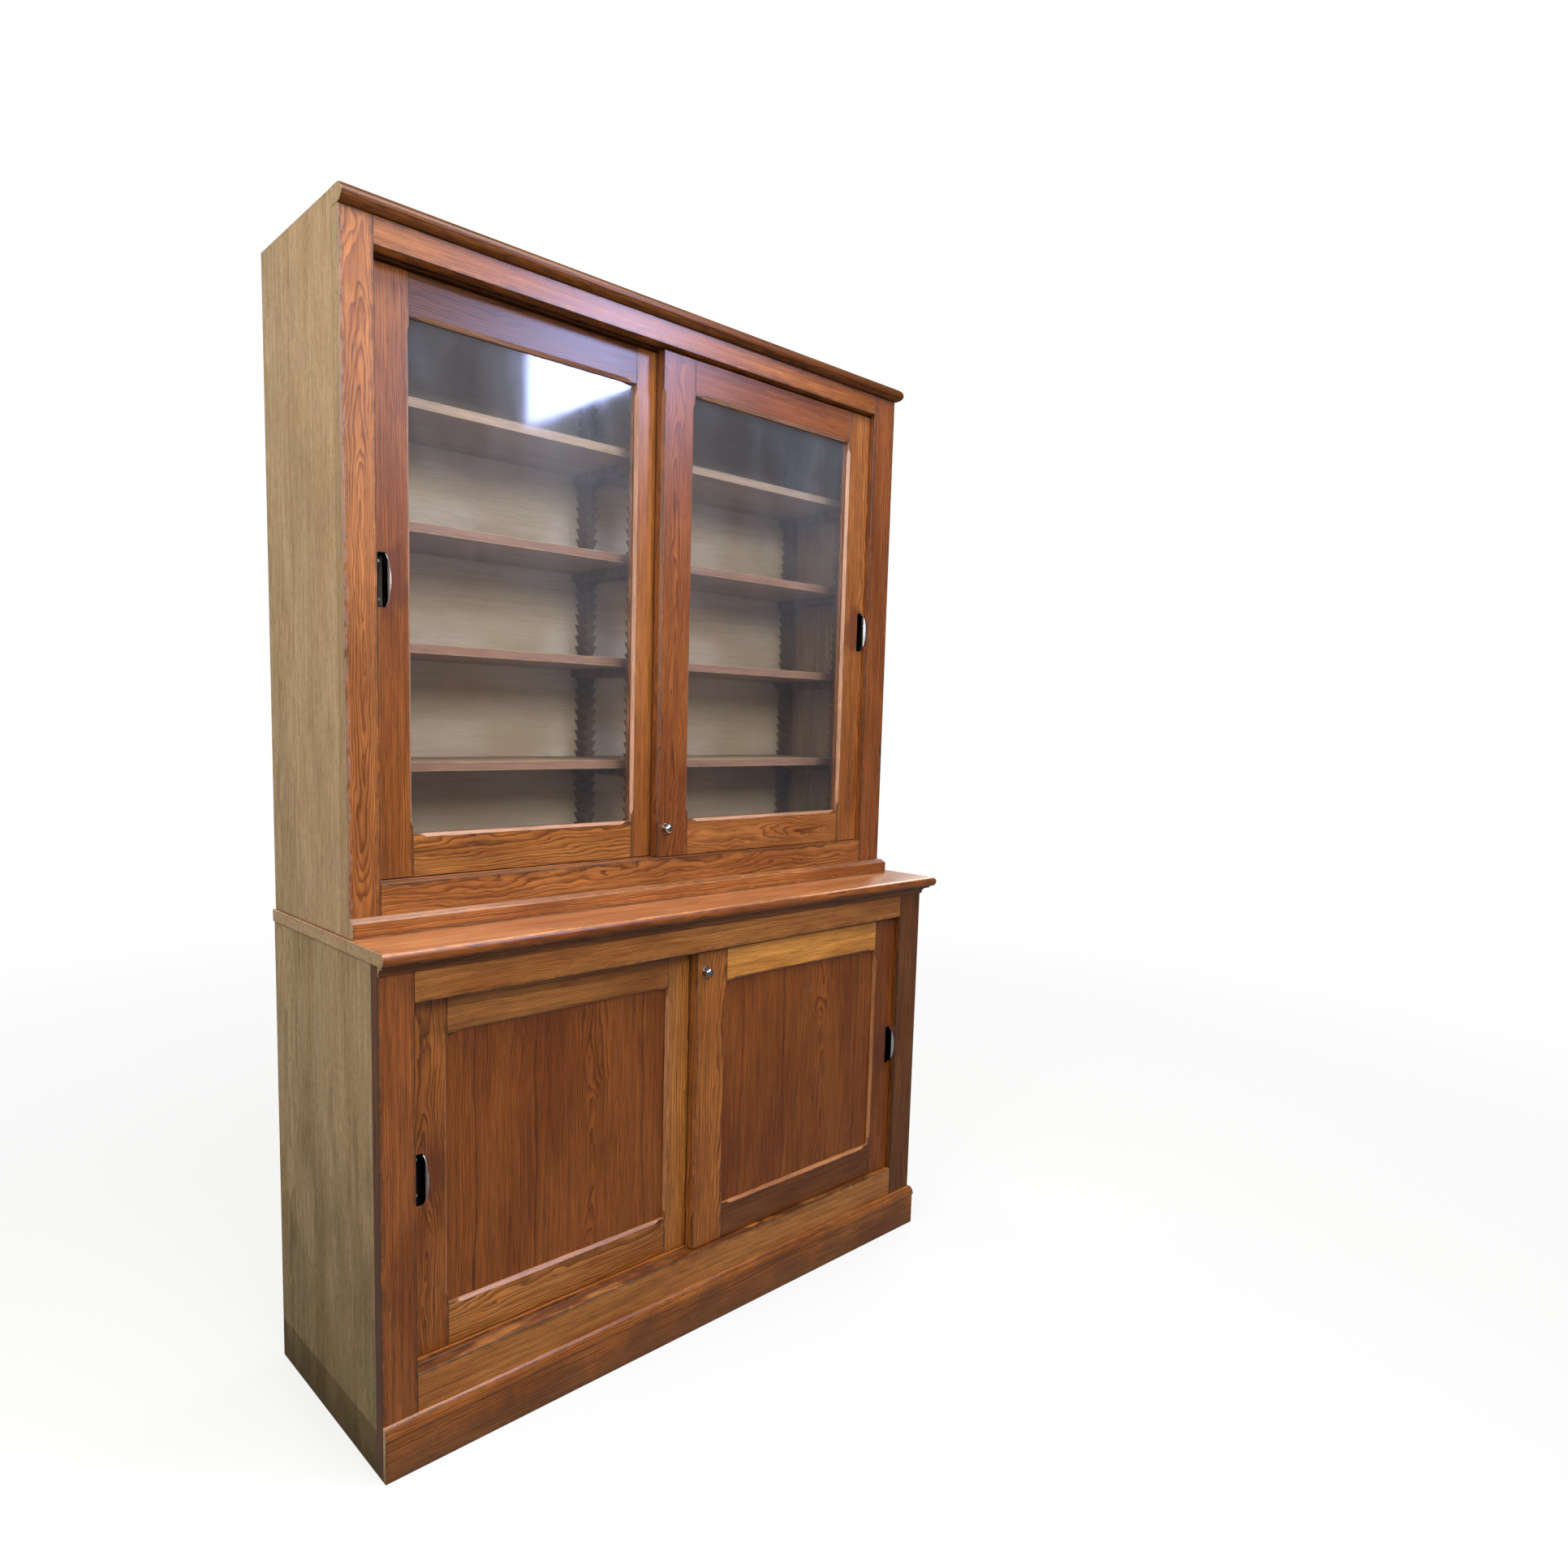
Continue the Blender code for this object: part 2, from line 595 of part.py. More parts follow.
def door_rail(name, x, y, z_outer, direction, width, groove, tongue, material, parent):
    """A door rail with its tongue along the outer edge and stub tenons in the grooves of the stiles."""
    rings = []
    span = (x[0] + CHAMFER_END, x[1] - CHAMFER_END)
    for place in chamfer_places(*x, (span,)):
        section = member_section(width, groove, chamfer_at(place, span), ARRIS, tongue)
        rings.append([(place, y + depth, z_outer + direction * across) for across, depth in section])
    rail = make_object(name, loft(rings), material, parent)
    tenon_y = (y + groove[0] + FIT, y + groove[1] - FIT)
    tenon_z = sorted(z_outer + direction * across for across in (TENON_SHOULDER, width - 2 * PANE_GROOVE_DEPTH))
    reach = PANE_GROOVE_DEPTH - 2 * FIT
    ends = ((x[0] - reach, x[0] + TENON_SHOULDER), (x[1] - TENON_SHOULDER, x[1] + reach))
    combine(rail, boxes(*[(end, tenon_y, tenon_z) for end in ends]), "UNION")


def slot_ring(centre_x, centre_z, y, width, length, corner):
    """A ring of points round an upright oblong with rounded corners."""
    ring = []
    for quarter in range(4):
        side_x = 1 if quarter in (0, 3) else -1
        side_z = 1 if quarter in (0, 1) else -1
        mid_x = centre_x + side_x * (width / 2 - corner)
        mid_z = centre_z + side_z * (length / 2 - corner)
        for i in range(PULL_CORNER_STEPS + 1):
            turn = (quarter + i / PULL_CORNER_STEPS) * math.pi / 2
            ring.append((mid_x + corner * math.cos(turn), y, mid_z + corner * math.sin(turn)))
    return ring


def build_pull(name, x, y, z, material, parent):
    """A box let in flush with the stile, and a half-moon fin on its right wall that flares out to pull on."""
    rings = []
    for inset, depth in ((0, PULL_DEPTH), (0, 0), (PULL_WALL, 0), (PULL_WALL, PULL_DEPTH - PULL_WALL)):
        size = (PULL_WIDTH - 2 * inset, PULL_LENGTH - 2 * inset, PULL_CORNER - inset)
        rings.append(slot_ring(x, z, y + depth, *size))
    pull = make_object(name, loft(rings), material, parent)
    root = x + PULL_WIDTH / 2 - FIN_THICKNESS / 2 - FIT / 2
    half = PULL_LENGTH / 2 - PULL_CORNER
    rings = []
    for i in range(FIN_STEPS + 1):
        turn = i / FIN_STEPS * math.pi
        height = FIN_ROOT / 2 + (FIN_PROJECTION - FIN_ROOT / 2) * math.sin(turn)
        curve = [(root, FIN_ROOT)]
        for share in (0, 0.4, 0.75, 1):
            flare = FIN_FLARE * (share * height / FIN_PROJECTION) ** 2
            curve.append((root + flare, -share * height))
        ring = [(place - FIN_THICKNESS / 2, depth) for place, depth in curve]
        ring += [(place + FIN_THICKNESS / 2, depth) for place, depth in reversed(curve)]
        rings.append([(place, y + depth, z - half * math.cos(turn)) for place, depth in ring])
    combine(pull, loft(rings), "UNION")


def pull_pocket(x, y, z):
    """The cutter for the slot in the stile that a pull is let into."""
    size = (PULL_WIDTH + 2 * FIT, PULL_LENGTH + 2 * FIT, PULL_CORNER + FIT)
    return loft([slot_ring(x, z, y + depth, *size) for depth in (-PULL_DEPTH, PULL_DEPTH + FIT)])


def build_lock(prefix, x, y, z, material, door, plunger_parent):
    """A push lock: a barrel with a rose in the front door, and the knob with its bolt that slides in it."""
    centre = Vector((x, y, z))
    bore = BOLT_RADIUS + SLIDE_FIT
    barrel = [
        (bore, -FIT - ROSE_THICKNESS),
        (ROSE_RADIUS, -FIT - ROSE_THICKNESS),
        (ROSE_RADIUS, -FIT),
        (BARREL_RADIUS, -FIT),
        (BARREL_RADIUS, DOOR_THICKNESS),
        (bore, DOOR_THICKNESS),
    ]
    make_object(f"{prefix}_lock_barrel", turned(barrel, centre), material, door)
    shoulder = -FIT - ROSE_THICKNESS - LOCK_TRAVEL - FIT
    face = shoulder - KNOB_LENGTH
    dome = [(KNOB_RADIUS - KNOB_ROUND + out, face + KNOB_ROUND - up) for out, up in
            reversed(quarter_arc(KNOB_ROUND, KNOB_ROUND, ROUND_STEPS // 2))]
    tip = DOOR_THICKNESS - FIT
    knob = [(0, face), *dome, (KNOB_RADIUS, shoulder), (BOLT_RADIUS, shoulder), (BOLT_RADIUS, tip), (0, tip)]
    make_object(f"{prefix}_lock_plunger", turned(knob, centre), material, plunger_parent)


def build_pane(name, x, y, z, thickness, material, parent):
    near = y + PANE_SETBACK + PANE_SIDE_PLAY
    reach = PANE_GROOVE_DEPTH - PANE_END_PLAY
    pane_x = (x[0] - reach, x[1] + reach)
    pane_z = (z[0] - PANE_GROOVE_DEPTH + FIT, z[1] + reach)
    board(name, pane_x, (near, near + thickness), pane_z, material, parent)


def build_door(name, x, front, sill, head, setback, pane, thickness, pull_x, materials, parent, outer_chamfer):
    """One framed sliding door. Returns its stiles and the empty on its track, for the lock to be fitted to."""
    y = front + setback
    empty = make_empty(name, (x[0], y + DOOR_THICKNESS - TONGUE_THICKNESS / 2, sill), parent)
    wood = materials["door"]
    shoulder_low = sill + DOOR_SILL_CLEARANCE
    shoulder_high = head - DOOR_HEAD_CLEARANCE
    z_low = sill - SILL_GROOVE_DEPTH + FIT
    z_high = shoulder_high + TONGUE_RISE
    groove = (PANE_SETBACK, PANE_SETBACK + thickness + 2 * PANE_SIDE_PLAY)
    pane_z = (shoulder_low + DOOR_BOTTOM_RAIL, shoulder_high - DOOR_TOP_RAIL)
    pane_x = (x[0] + DOOR_STILE, x[1] - DOOR_STILE)
    inner_span = (pane_z[0] + CHAMFER_END, pane_z[1] - CHAMFER_END)
    outer_span = None
    if outer_chamfer:
        outer_span = (shoulder_low + OUTER_CHAMFER_END, shoulder_high - OUTER_CHAMFER_END)
    stile_z = (z_low, z_high, shoulder_low, shoulder_high)
    left = door_stile(f"{name}_left_stile", x[0], 1, y, stile_z, inner_span, outer_span, groove, wood, empty)
    right = door_stile(f"{name}_right_stile", x[1], -1, y, stile_z, inner_span, None, groove, wood, empty)
    stiles = {"left": left, "right": right}
    rail_x = (pane_x[0] + FIT, pane_x[1] - FIT)
    door_rail(
        f"{name}_bottom_rail", rail_x, y, shoulder_low, 1, DOOR_BOTTOM_RAIL, groove,
        shoulder_low - z_low, wood, empty,
    )
    door_rail(
        f"{name}_top_rail", rail_x, y, shoulder_high, -1, DOOR_TOP_RAIL, groove, TONGUE_RISE, wood, empty
    )
    build_pane(f"{name}_{pane}", pane_x, y, pane_z, thickness, materials[pane], empty)
    pull_z = (shoulder_low + shoulder_high) / 2
    build_pull(f"{name}_pull", pull_x, y, pull_z, materials["chrome"], empty)
    nearer = "left" if pull_x < (x[0] + x[1]) / 2 else "right"
    combine(stiles[nearer], pull_pocket(pull_x, y, pull_z), "DIFFERENCE")
    return stiles, empty


def build_door_pair(prefix, front, x_open, sill, head, overlap, pane, thickness, lock_z, materials, parent):
    """The rear door on the left and the front door on the right, with the lock where they overlap."""
    run = x_open[1] - x_open[0] + LEFT_DOOR_TUCK + RIGHT_DOOR_TUCK
    width = (run + overlap) / 2
    left_x = (x_open[0] - LEFT_DOOR_TUCK, x_open[0] - LEFT_DOOR_TUCK + width)
    right_x = (x_open[1] + RIGHT_DOOR_TUCK - width, x_open[1] + RIGHT_DOOR_TUCK)
    rear_stiles, _ = build_door(
        f"{prefix}_left_door", left_x, front, sill, head, REAR_DOOR_SETBACK, pane, thickness,
        left_x[0] + PULL_EDGE_LEFT, materials, parent, False,
    )
    front_stiles, door = build_door(
        f"{prefix}_right_door", right_x, front, sill, head, FRONT_DOOR_SETBACK, pane, thickness,
        right_x[1] - PULL_EDGE_RIGHT, materials, parent, True,
    )
    lock_x = right_x[0] + LOCK_INSET
    front_y = front + FRONT_DOOR_SETBACK
    rear_y = front + REAR_DOOR_SETBACK
    place = (lock_x, front_y, lock_z)
    barrel_hole = bmesh.new()
    add_bore(barrel_hole, place, BARREL_RADIUS + FIT, (front_y - DOOR_GAP, front_y + DOOR_THICKNESS + DOOR_GAP / 2))
    combine(front_stiles["left"], barrel_hole, "DIFFERENCE")
    strike_hole = bmesh.new()
    add_bore(strike_hole, place, BOLT_RADIUS + 2 * SLIDE_FIT, (rear_y - DOOR_GAP, rear_y + STRIKE_DEPTH))
    combine(rear_stiles["right"], strike_hole, "DIFFERENCE")
    axis = make_empty(f"{prefix}_lock", Vector(place) - door.location, door)
    build_lock(prefix, lock_x, front_y, lock_z, materials["chrome"], door, axis)


# Assembly


def build_base_cabinet(materials, cabinet):
    wood = materials["carcass"]
    x_inside = (SIDE_THICKNESS, BASE_WIDTH - SIDE_THICKNESS)
    x_open = (BASE_LEFT_STILE, BASE_WIDTH - BASE_RIGHT_STILE)
    shelf_z = (BASE_SHELF_TOP - SHELF_THICKNESS, BASE_SHELF_TOP)
    shelf_y = (BASE_SHELF_SETBACK, BACK_FACE - FIT)
    housing = ((shelf_y[0] - FIT, BASE_DEPTH - BACK_THICKNESS / 2), (shelf_z[0] - FIT, shelf_z[1] + FIT))
    sides = {"left": materials["raw"], "right": wood}
    build_sides("base", 0, BASE_WIDTH, 0, (0, BASE_TOP - FIT), sides, cabinet, [housing])
    build_back("base", 0, BASE_WIDTH, (BASE_SILL - BASE_BOTTOM_RAIL, BASE_TOP - FIT), materials["back"], cabinet)
    reach = HOUSING_DEPTH - FIT
    shelf_x = (x_inside[0] - reach, x_inside[1] + reach)
    board("base_shelf", shelf_x, shelf_y, shelf_z, materials["shelf"], cabinet)
    build_runners("base", 0, x_inside, x_open, BASE_SILL, BASE_HEAD, materials["shelf"], cabinet)
    build_face_frame(
        "base", 0, (0, BASE_WIDTH), x_open, (0, BASE_TOP - FIT), (BASE_HEAD, BASE_TOP - FIT),
        (BASE_SILL - BASE_BOTTOM_RAIL, BASE_SILL), wood, cabinet,
    )
    build_counter(materials["counter"], cabinet)
    lock_z = BASE_HEAD - DOOR_HEAD_CLEARANCE - BASE_LOCK_DROP
    build_door_pair(
        "base", 0, x_open, BASE_SILL, BASE_HEAD, BASE_OVERLAP, "panel", PANEL_THICKNESS, lock_z, materials, cabinet
    )


def build_upper_cabinet(materials, cabinet):
    wood = materials["carcass"]
    front = UPPER_SETBACK
    x_inside = (UPPER_LEFT + SIDE_THICKNESS, UPPER_RIGHT - SIDE_THICKNESS)
    x_open = (UPPER_LEFT + UPPER_LEFT_STILE, UPPER_RIGHT - UPPER_RIGHT_STILE)
    foot = COUNTER_TOP + FIT
    sides = {"left": materials["raw"], "right": wood}
    build_sides("upper", UPPER_LEFT, UPPER_RIGHT, front, (foot, TOTAL_HEIGHT), sides, cabinet, [])
    build_back("upper", UPPER_LEFT, UPPER_RIGHT, (foot, TOTAL_HEIGHT), materials["back"], cabinet)
    roof_x = (x_inside[0] + FIT, x_inside[1] - FIT)
    roof_y = (front + BEHIND_FRAME, BACK_FACE - FIT)
    board("upper_roof", roof_x, roof_y, (ROOF_UNDER, TOTAL_HEIGHT), wood, cabinet)
    build_runners("upper", front, x_inside, x_open, UPPER_SILL, UPPER_HEAD, materials["shelf"], cabinet)
    build_face_frame(
        "upper", front, (UPPER_LEFT, UPPER_RIGHT), x_open, (foot, CORNICE_UNDER), (UPPER_HEAD, CORNICE_UNDER),
        (foot, UPPER_SILL), wood, cabinet,
    )
    build_shelving(x_inside, front, materials["shelf"], cabinet)
    lock_z = UPPER_SILL + DOOR_SILL_CLEARANCE + UPPER_LOCK_RISE
    build_door_pair(
        "upper", front, x_open, UPPER_SILL, UPPER_HEAD, UPPER_OVERLAP, "glass", GLASS_THICKNESS, lock_z, materials,
        cabinet,
    )


def main():
    clear_scene()
    materials = {
        "carcass": make_material("varnished_pine", (0.32, 0.12, 0.035), 0.32),
        "door": make_material("door_pine", (0.34, 0.13, 0.045), 0.30),
        "counter": make_material("counter_pine", (0.48, 0.20, 0.06), 0.30),
        "raw": make_material("raw_pine", (0.40, 0.29, 0.16), 0.80),
        "back": make_material("back_board", (0.42, 0.34, 0.22), 0.75),
        "shelf": make_material("shelf_pine", (0.26, 0.11, 0.06), 0.50),
        "panel": make_material("panel_pine", (0.16, 0.06, 0.02), 0.40),
        "glass": make_material("clear_glass", (0.95, 0.98, 0.96), 0.02, transmission=1.0),
        "chrome": make_material("chrome", (0.80, 0.80, 0.80), 0.12, metallic=1.0),
    }
    cabinet = make_empty("cabinet", CORNER)
    build_base_cabinet(materials, cabinet)
    build_upper_cabinet(materials, cabinet)
    build_mouldings(materials["carcass"], cabinet)


main()
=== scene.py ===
"""Looks of the laboratory cabinet: eased and varnished boards, glass, chromed pulls and locks, and the stage.

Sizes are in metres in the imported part's frame: X runs right along the front, Y to the back, Z up.
"""

import json
import math
from collections import namedtuple

import bmesh
import bpy
from bpy.props import FloatProperty, FloatVectorProperty, PointerProperty
from mathutils import Matrix, Vector

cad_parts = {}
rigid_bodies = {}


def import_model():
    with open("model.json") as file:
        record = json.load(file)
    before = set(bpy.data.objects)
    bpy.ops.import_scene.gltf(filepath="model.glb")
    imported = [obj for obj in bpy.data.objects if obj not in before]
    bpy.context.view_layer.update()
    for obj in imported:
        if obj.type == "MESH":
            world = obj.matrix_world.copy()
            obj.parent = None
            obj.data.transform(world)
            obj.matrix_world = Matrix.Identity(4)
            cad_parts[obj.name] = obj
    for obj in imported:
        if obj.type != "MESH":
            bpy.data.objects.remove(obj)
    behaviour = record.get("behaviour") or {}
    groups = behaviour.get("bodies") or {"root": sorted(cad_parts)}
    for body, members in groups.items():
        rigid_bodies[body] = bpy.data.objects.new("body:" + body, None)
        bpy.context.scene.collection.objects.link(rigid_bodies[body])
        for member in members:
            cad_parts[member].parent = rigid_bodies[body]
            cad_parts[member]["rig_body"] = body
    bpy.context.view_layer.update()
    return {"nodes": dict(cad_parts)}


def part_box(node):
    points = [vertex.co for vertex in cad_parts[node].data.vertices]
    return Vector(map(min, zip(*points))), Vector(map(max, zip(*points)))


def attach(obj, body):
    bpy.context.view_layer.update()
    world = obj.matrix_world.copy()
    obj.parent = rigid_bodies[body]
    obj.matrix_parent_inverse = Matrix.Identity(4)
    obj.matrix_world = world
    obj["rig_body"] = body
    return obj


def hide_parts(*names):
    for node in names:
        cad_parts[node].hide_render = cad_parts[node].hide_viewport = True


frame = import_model()

bl_info = {
    "name": "Laboratory cabinet",
    "version": (1, 0, 0),
    "blender": (4, 5, 0),
    "location": "3D View > Sidebar > Cabinet",
    "description": "Dresses the packed cabinet with eased boards, varnish, glass and chromed fittings",
    "category": "Object",
}

# How a board lies: the columns are its length, its width and its thickness in the part's frame.
LIES = {
    "upright": Matrix(((0, 1, 0), (0, 0, 1), (1, 0, 0))),
    "across": Matrix(((1, 0, 0), (0, 0, -1), (0, 1, 0))),
    "flat": Matrix(((1, 0, 0), (0, 1, 0), (0, 0, 1))),
    "side": Matrix(((0, 0, -1), (0, 1, 0), (1, 0, 0))),
    "return": Matrix(((0, -1, 0), (1, 0, 0), (0, 0, 1))),
}

# How a board was sawn from the log: ring spacing, depth and side of the heart, lean along the board, waver.
CUTS = {
    "slab": (0.0038, 0.012, 0.002, 0.050, 0.0150),
    "wild": (0.0044, 0.020, -0.006, 0.040, 0.0170),
    "rift": (0.0042, 0.060, 0.050, 0.022, 0.0090),
    "comb": (0.0034, 0.020, 0.300, 0.006, 0.0060),
    "panel": (0.0037, 0.034, 0.070, 0.030, 0.0110),
    "broad": (0.0048, 0.120, 0.160, 0.012, 0.0110),
}

# Each board with its lie, cut and stain.
BASE_BOARDS = {
    "base_left_side": ("side", "broad", "shaded_bare"),
    "base_right_side": ("side", "broad", "brown"),
    "base_left_stile": ("upright", "comb", "red"),
    "base_right_stile": ("upright", "rift", "dark"),
    "base_top_rail": ("across", "comb", "golden"),
    "base_bottom_rail": ("across", "comb", "golden"),
    "base_floor": ("flat", "broad", "shelf"),
    "base_top_guide": ("flat", "comb", "dark"),
    "base_shelf": ("flat", "broad", "shelf"),
    "counter_top": ("flat", "broad", "counter"),
}
UPPER_BOARDS = {
    "upper_left_side": ("side", "broad", "raw"),
    "upper_right_side": ("side", "broad", "brown"),
    "upper_left_stile": ("upright", "slab", "orange"),
    "upper_right_stile": ("upright", "rift", "red"),
    "upper_top_rail": ("across", "comb", "brown"),
    "upper_bottom_rail": ("across", "rift", "orange"),
    "upper_floor": ("flat", "broad", "shelf"),
    # Stained dark so that the gap above the upper doors shows as a painted shadow.
    "upper_top_guide": ("flat", "comb", "dark"),
    "upper_roof": ("flat", "broad", "raw"),
}
BACKS = {
    "base_back": ("upright", "broad", "back"),
    "upper_back": ("across", "broad", "back"),
}
MOULDINGS = {
    # Stained dark: partly the cove's own dark stain, partly painted shade under the counter's nose.
    "counter_cove": ("across", "comb", "dark"),
    "plinth": ("across", "comb", "brown"),
    "upper_skirt": ("across", "comb", "orange"),
    "cornice": ("across", "comb", "dark"),
}
SHELVES = tuple(f"shelf_{row}" for row in (1, 2, 3, 4))
LADDERS = tuple(f"shelf_ladder_{place}" for place in ("left", "middle", "right"))
SHELVING = {node: ("flat", "broad", "shelf") for node in SHELVES}
SHELVING.update({node: ("upright", "comb", "ladder") for node in LADDERS})

# The cut and stain of each door's stiles, rails and panel, in the order of its parts.
DOOR_PARTS = ("left_stile", "right_stile", "top_rail", "bottom_rail", "panel")
DOOR_WOODS = {
    "upper_left": (("comb", "brown"), ("comb", "orange"), ("rift", "dark"), ("rift", "golden")),
    "upper_right": (("wild", "red"), ("rift", "orange"), ("comb", "red"), ("slab", "orange")),
    "base_left": (("wild", "brown"), ("rift", "golden"), ("comb", "golden"), ("rift", "golden"), ("panel", "panel")),
    "base_right": (("rift", "brown"), ("comb", "panel"), ("comb", "honey"), ("comb", "dark"), ("panel", "panel")),
}
DOOR_BOARDS = {
    f"{door}_door_{part}": ("across" if part.endswith("_rail") else "upright", *wood)
    for door, woods in DOOR_WOODS.items() for part, wood in zip(DOOR_PARTS, woods)}
DOORS = tuple(DOOR_WOODS)
PULLS = tuple(f"{door}_door_pull" for door in DOORS)
PANES = tuple(f"{door}_door_glass" for door in DOORS[:2])
FREE_EDGES = ("counter_top", *MOULDINGS)
TOP_SHELF = SHELVES[-1]
DUSTY = "cornice"
CHIPPED = "upper_left_stile"

# Stains of a kind.
LIPPINGS = ("lipping", "cream")
RUBBED_AND_HIGHLIGHTED = ("bead", "rub")
BARE = ("raw", "shaded_bare")
DULL = (*BARE, "shelf", "ladder", "back", *LIPPINGS)

# Each stain with the boards that it is on, and the colours of their early and their late wood.
STAINS = {
    "orange": ("orange boards", (0.475, 0.174, 0.040), (0.170, 0.046, 0.009)),
    "red": ("red boards", (0.335, 0.1, 0.0195), (0.125, 0.031, 0.0056)),
    "golden": ("golden boards", (0.54, 0.21, 0.044), (0.165, 0.046, 0.0078)),
    "honey": ("worn honey board", (0.8, 0.355, 0.068), (0.4, 0.14, 0.023)),
    "dark": ("dark boards and mouldings", (0.215, 0.07, 0.014), (0.07, 0.019, 0.0032)),
    "brown": ("brown boards", (0.45, 0.148, 0.024), (0.130, 0.033, 0.0050)),
    "panel": ("door panels", (0.305, 0.084, 0.0100), (0.120, 0.029, 0.0034)),
    # The counter's stain holds its own colour and, in its paler and bluer tone, a painted sheen on the top face.
    "counter": ("counter top", (0.66, 0.275, 0.1), (0.45, 0.16, 0.055)),
    # The bare base side is darker than the upper one: partly its own greyer wood, partly painted shade for the lower
    # cabinet.
    "shaded_bare": ("bare side of the base", (0.45, 0.318, 0.178), (0.35, 0.235, 0.12)),
    "raw": ("bare side boards", (0.5, 0.35, 0.2), (0.4, 0.265, 0.142)),
    "shelf": ("shelves", (0.42, 0.290, 0.190), (0.33, 0.215, 0.135)),
    "lipping": ("front edges of the shelves", (0.42, 0.228, 0.168), (0.28, 0.145, 0.102)),
    # The top shelf's front edge is cream paint, made paler than the lower edges as a painted highlight where it
    # catches the light.
    "cream": ("front edge of the top shelf", (0.60, 0.425, 0.330), (0.48, 0.325, 0.245)),
    "ladder": ("notched ladders", (0.235, 0.155, 0.098), (0.155, 0.100, 0.062)),
    # The chamfers round the panes and panels are pale: partly rubbed varnish, partly a painted highlight where they
    # catch the light.
    "bead": ("rubbed edges round the panes", (0.58, 0.315, 0.200), (0.44, 0.225, 0.135)),
    "rub": ("rubbed edges round the panels", (0.49, 0.210, 0.083), (0.34, 0.130, 0.042)),
    "back": ("back boards", (0.86, 0.715, 0.57), (0.76, 0.62, 0.47)),
}

# How a finish wears. Shares run from 0 to 1, reaches are in metres, shade and rough run from low to high.
Wear = namedtuple("Wear", "shade thick specks scuffs joint joint_reach arris arris_reach arris_colour rough bump "
                          "specular coat")
# The joint share darkens a band along every edge of a board: partly dirt in the joints, partly painted shade between
# parts.
VARNISH = Wear(shade=(0.68, 1.26), thick=(0.70, 0.60, 0.50, 1.0), specks=0.38, scuffs=0.16, joint=0.46,
               joint_reach=0.011, arris=0.62, arris_reach=0.0034, arris_colour="grime", rough=(0.24, 0.38),
               bump=0.16, specular=0.25, coat=1.0)
FREE_VARNISH = VARNISH._replace(arris=0.50, arris_reach=0.0020, arris_colour="worn")
DULL_WOOD = Wear(shade=(0.80, 1.15), thick=(0.86, 0.82, 0.76, 1.0), specks=0.14, scuffs=0.30, joint=0.20,
                 joint_reach=0.006, arris=0.25, arris_reach=0.0020, arris_colour="worn", rough=(0.60, 0.80),
                 bump=0.30, specular=0.15, coat=0.0)
GRIME_SHARE, HAND_SHARE, CHIP_SHARE = 0.40, 0.62, 0.42
# The second height is how far the rising mask reaches on the bare base side, where it darkens the wood towards the
# bottom as painted shade.
GRIME_HEIGHT, SHADE_HEIGHT = 0.10, 0.75
FOOT_BAND = (0.086, 0.081)  # heights between which the band fades in
HAND_RADIUS, HAND_DEPTH, HAND_ASIDE = 0.045, 0.014, {"left": 0.03, "right": -0.014}
COAT_ROUGHNESS = 0.32

# What darkens bare wood: flecks, strips, painted shade that deepens towards the bottom of the base side, and the band
# along its foot.
TINTS = {"fleck": (0.86, 0.85, 0.83, 1.0), "strip": (0.90, 0.93, 0.92, 1.0), "shaded_bare": (0.66, 0.69, 0.64, 1.0),
         "foot": (0.66, 0.64, 0.58, 1.0)}

# Each noise: its cycles a metre along, across and through the board, or in X, Y and Z off the boards, its detail
# and its roughness.
NOISES = {
    "sway": ((4.6, 15.0, 15.0), 2.5, 0.5),
    "ripple": ((17.0, 64.0, 64.0), 2.0, 0.5),
    "fine": ((22.0, 480.0, 480.0), 3.0, 0.65),
    "streak": ((7.0, 120.0, 120.0), 4.0, 0.6),
    "patches": ((3.0, 11.0, 11.0), 3.0, 0.55),
    "rub": ((7.0, 13.0, 13.0), 2.0, 0.5),
    "scratch": ((55.0, 190.0, 190.0), 5.0, 0.7),
    "pores": ((38.0, 210.0, 210.0), 4.0, 0.7),
    "broken": ((40.0, 90.0, 90.0), 4.0, 0.65),
    "dirt": ((14.0, 14.0, 5.0), 4.0, 0.6),
    "hands": ((30.0, 30.0, 18.0), 4.0, 0.6),
    "fleck": ((70.0, 150.0, 150.0), 3.0, 0.65),
    "strip": ((0.9, 9.0, 9.0), 2.0, 0.5),
    "chips": ((60.0, 120.0, 120.0), 4.0, 0.65),
    "lines": ((2600.0, 2600.0, 260.0), 4.0, 0.7),
    "clouds": ((160.0, 160.0, 90.0), 4.0, 0.6),
    "film": ((5.0, 5.0, 2.2), 4.0, 0.6),
    "wiped": ((26.0, 26.0, 5.0), 3.0, 0.6),
    "wave": ((3.0, 3.0, 1.6), 1.0, 0.5),
    "floor": ((1.5, 1.5, 1.5), 3.0, 0.5),
}

# Small measures of the pieces, in metres.
END_DEPTH = 0.002
TRACK_DEPTH = 0.085
BEAD_WIDTH, BEAD_DEPTH = 0.008, 0.0095
GLASS_ARRIS, LOCK_ARRIS, BOX_ARRIS = 0.0006, 0.0004, 0.00025
FIN_INSET, FIN_ROOT = 0.0025, 0.0005
# The fin's inner side is painted dark: painted shade and a painted reflection of the dark box beside it.
FIN_SHADED = 0.62  # share of the fin's reach that is blackened on its inner side
SCREW_RISE, SCREW_ASIDE, SCREW_DEPTH, SCREW_DOME = 0.034, 0.0008, 0.0016, 0.0007
SLOT_RISE, SLOT_DEPTH, SLOT_WIDTH = 0.0009, 0.0014, 0.0008
KNOB_DOME, KNOB_FLAT = 0.0072, 0.0012

WHITE = (1.0, 1.0, 1.0, 1.0)
WARM, COOL = (1.0, 0.98, 0.95), (0.48, 0.56, 1.0)

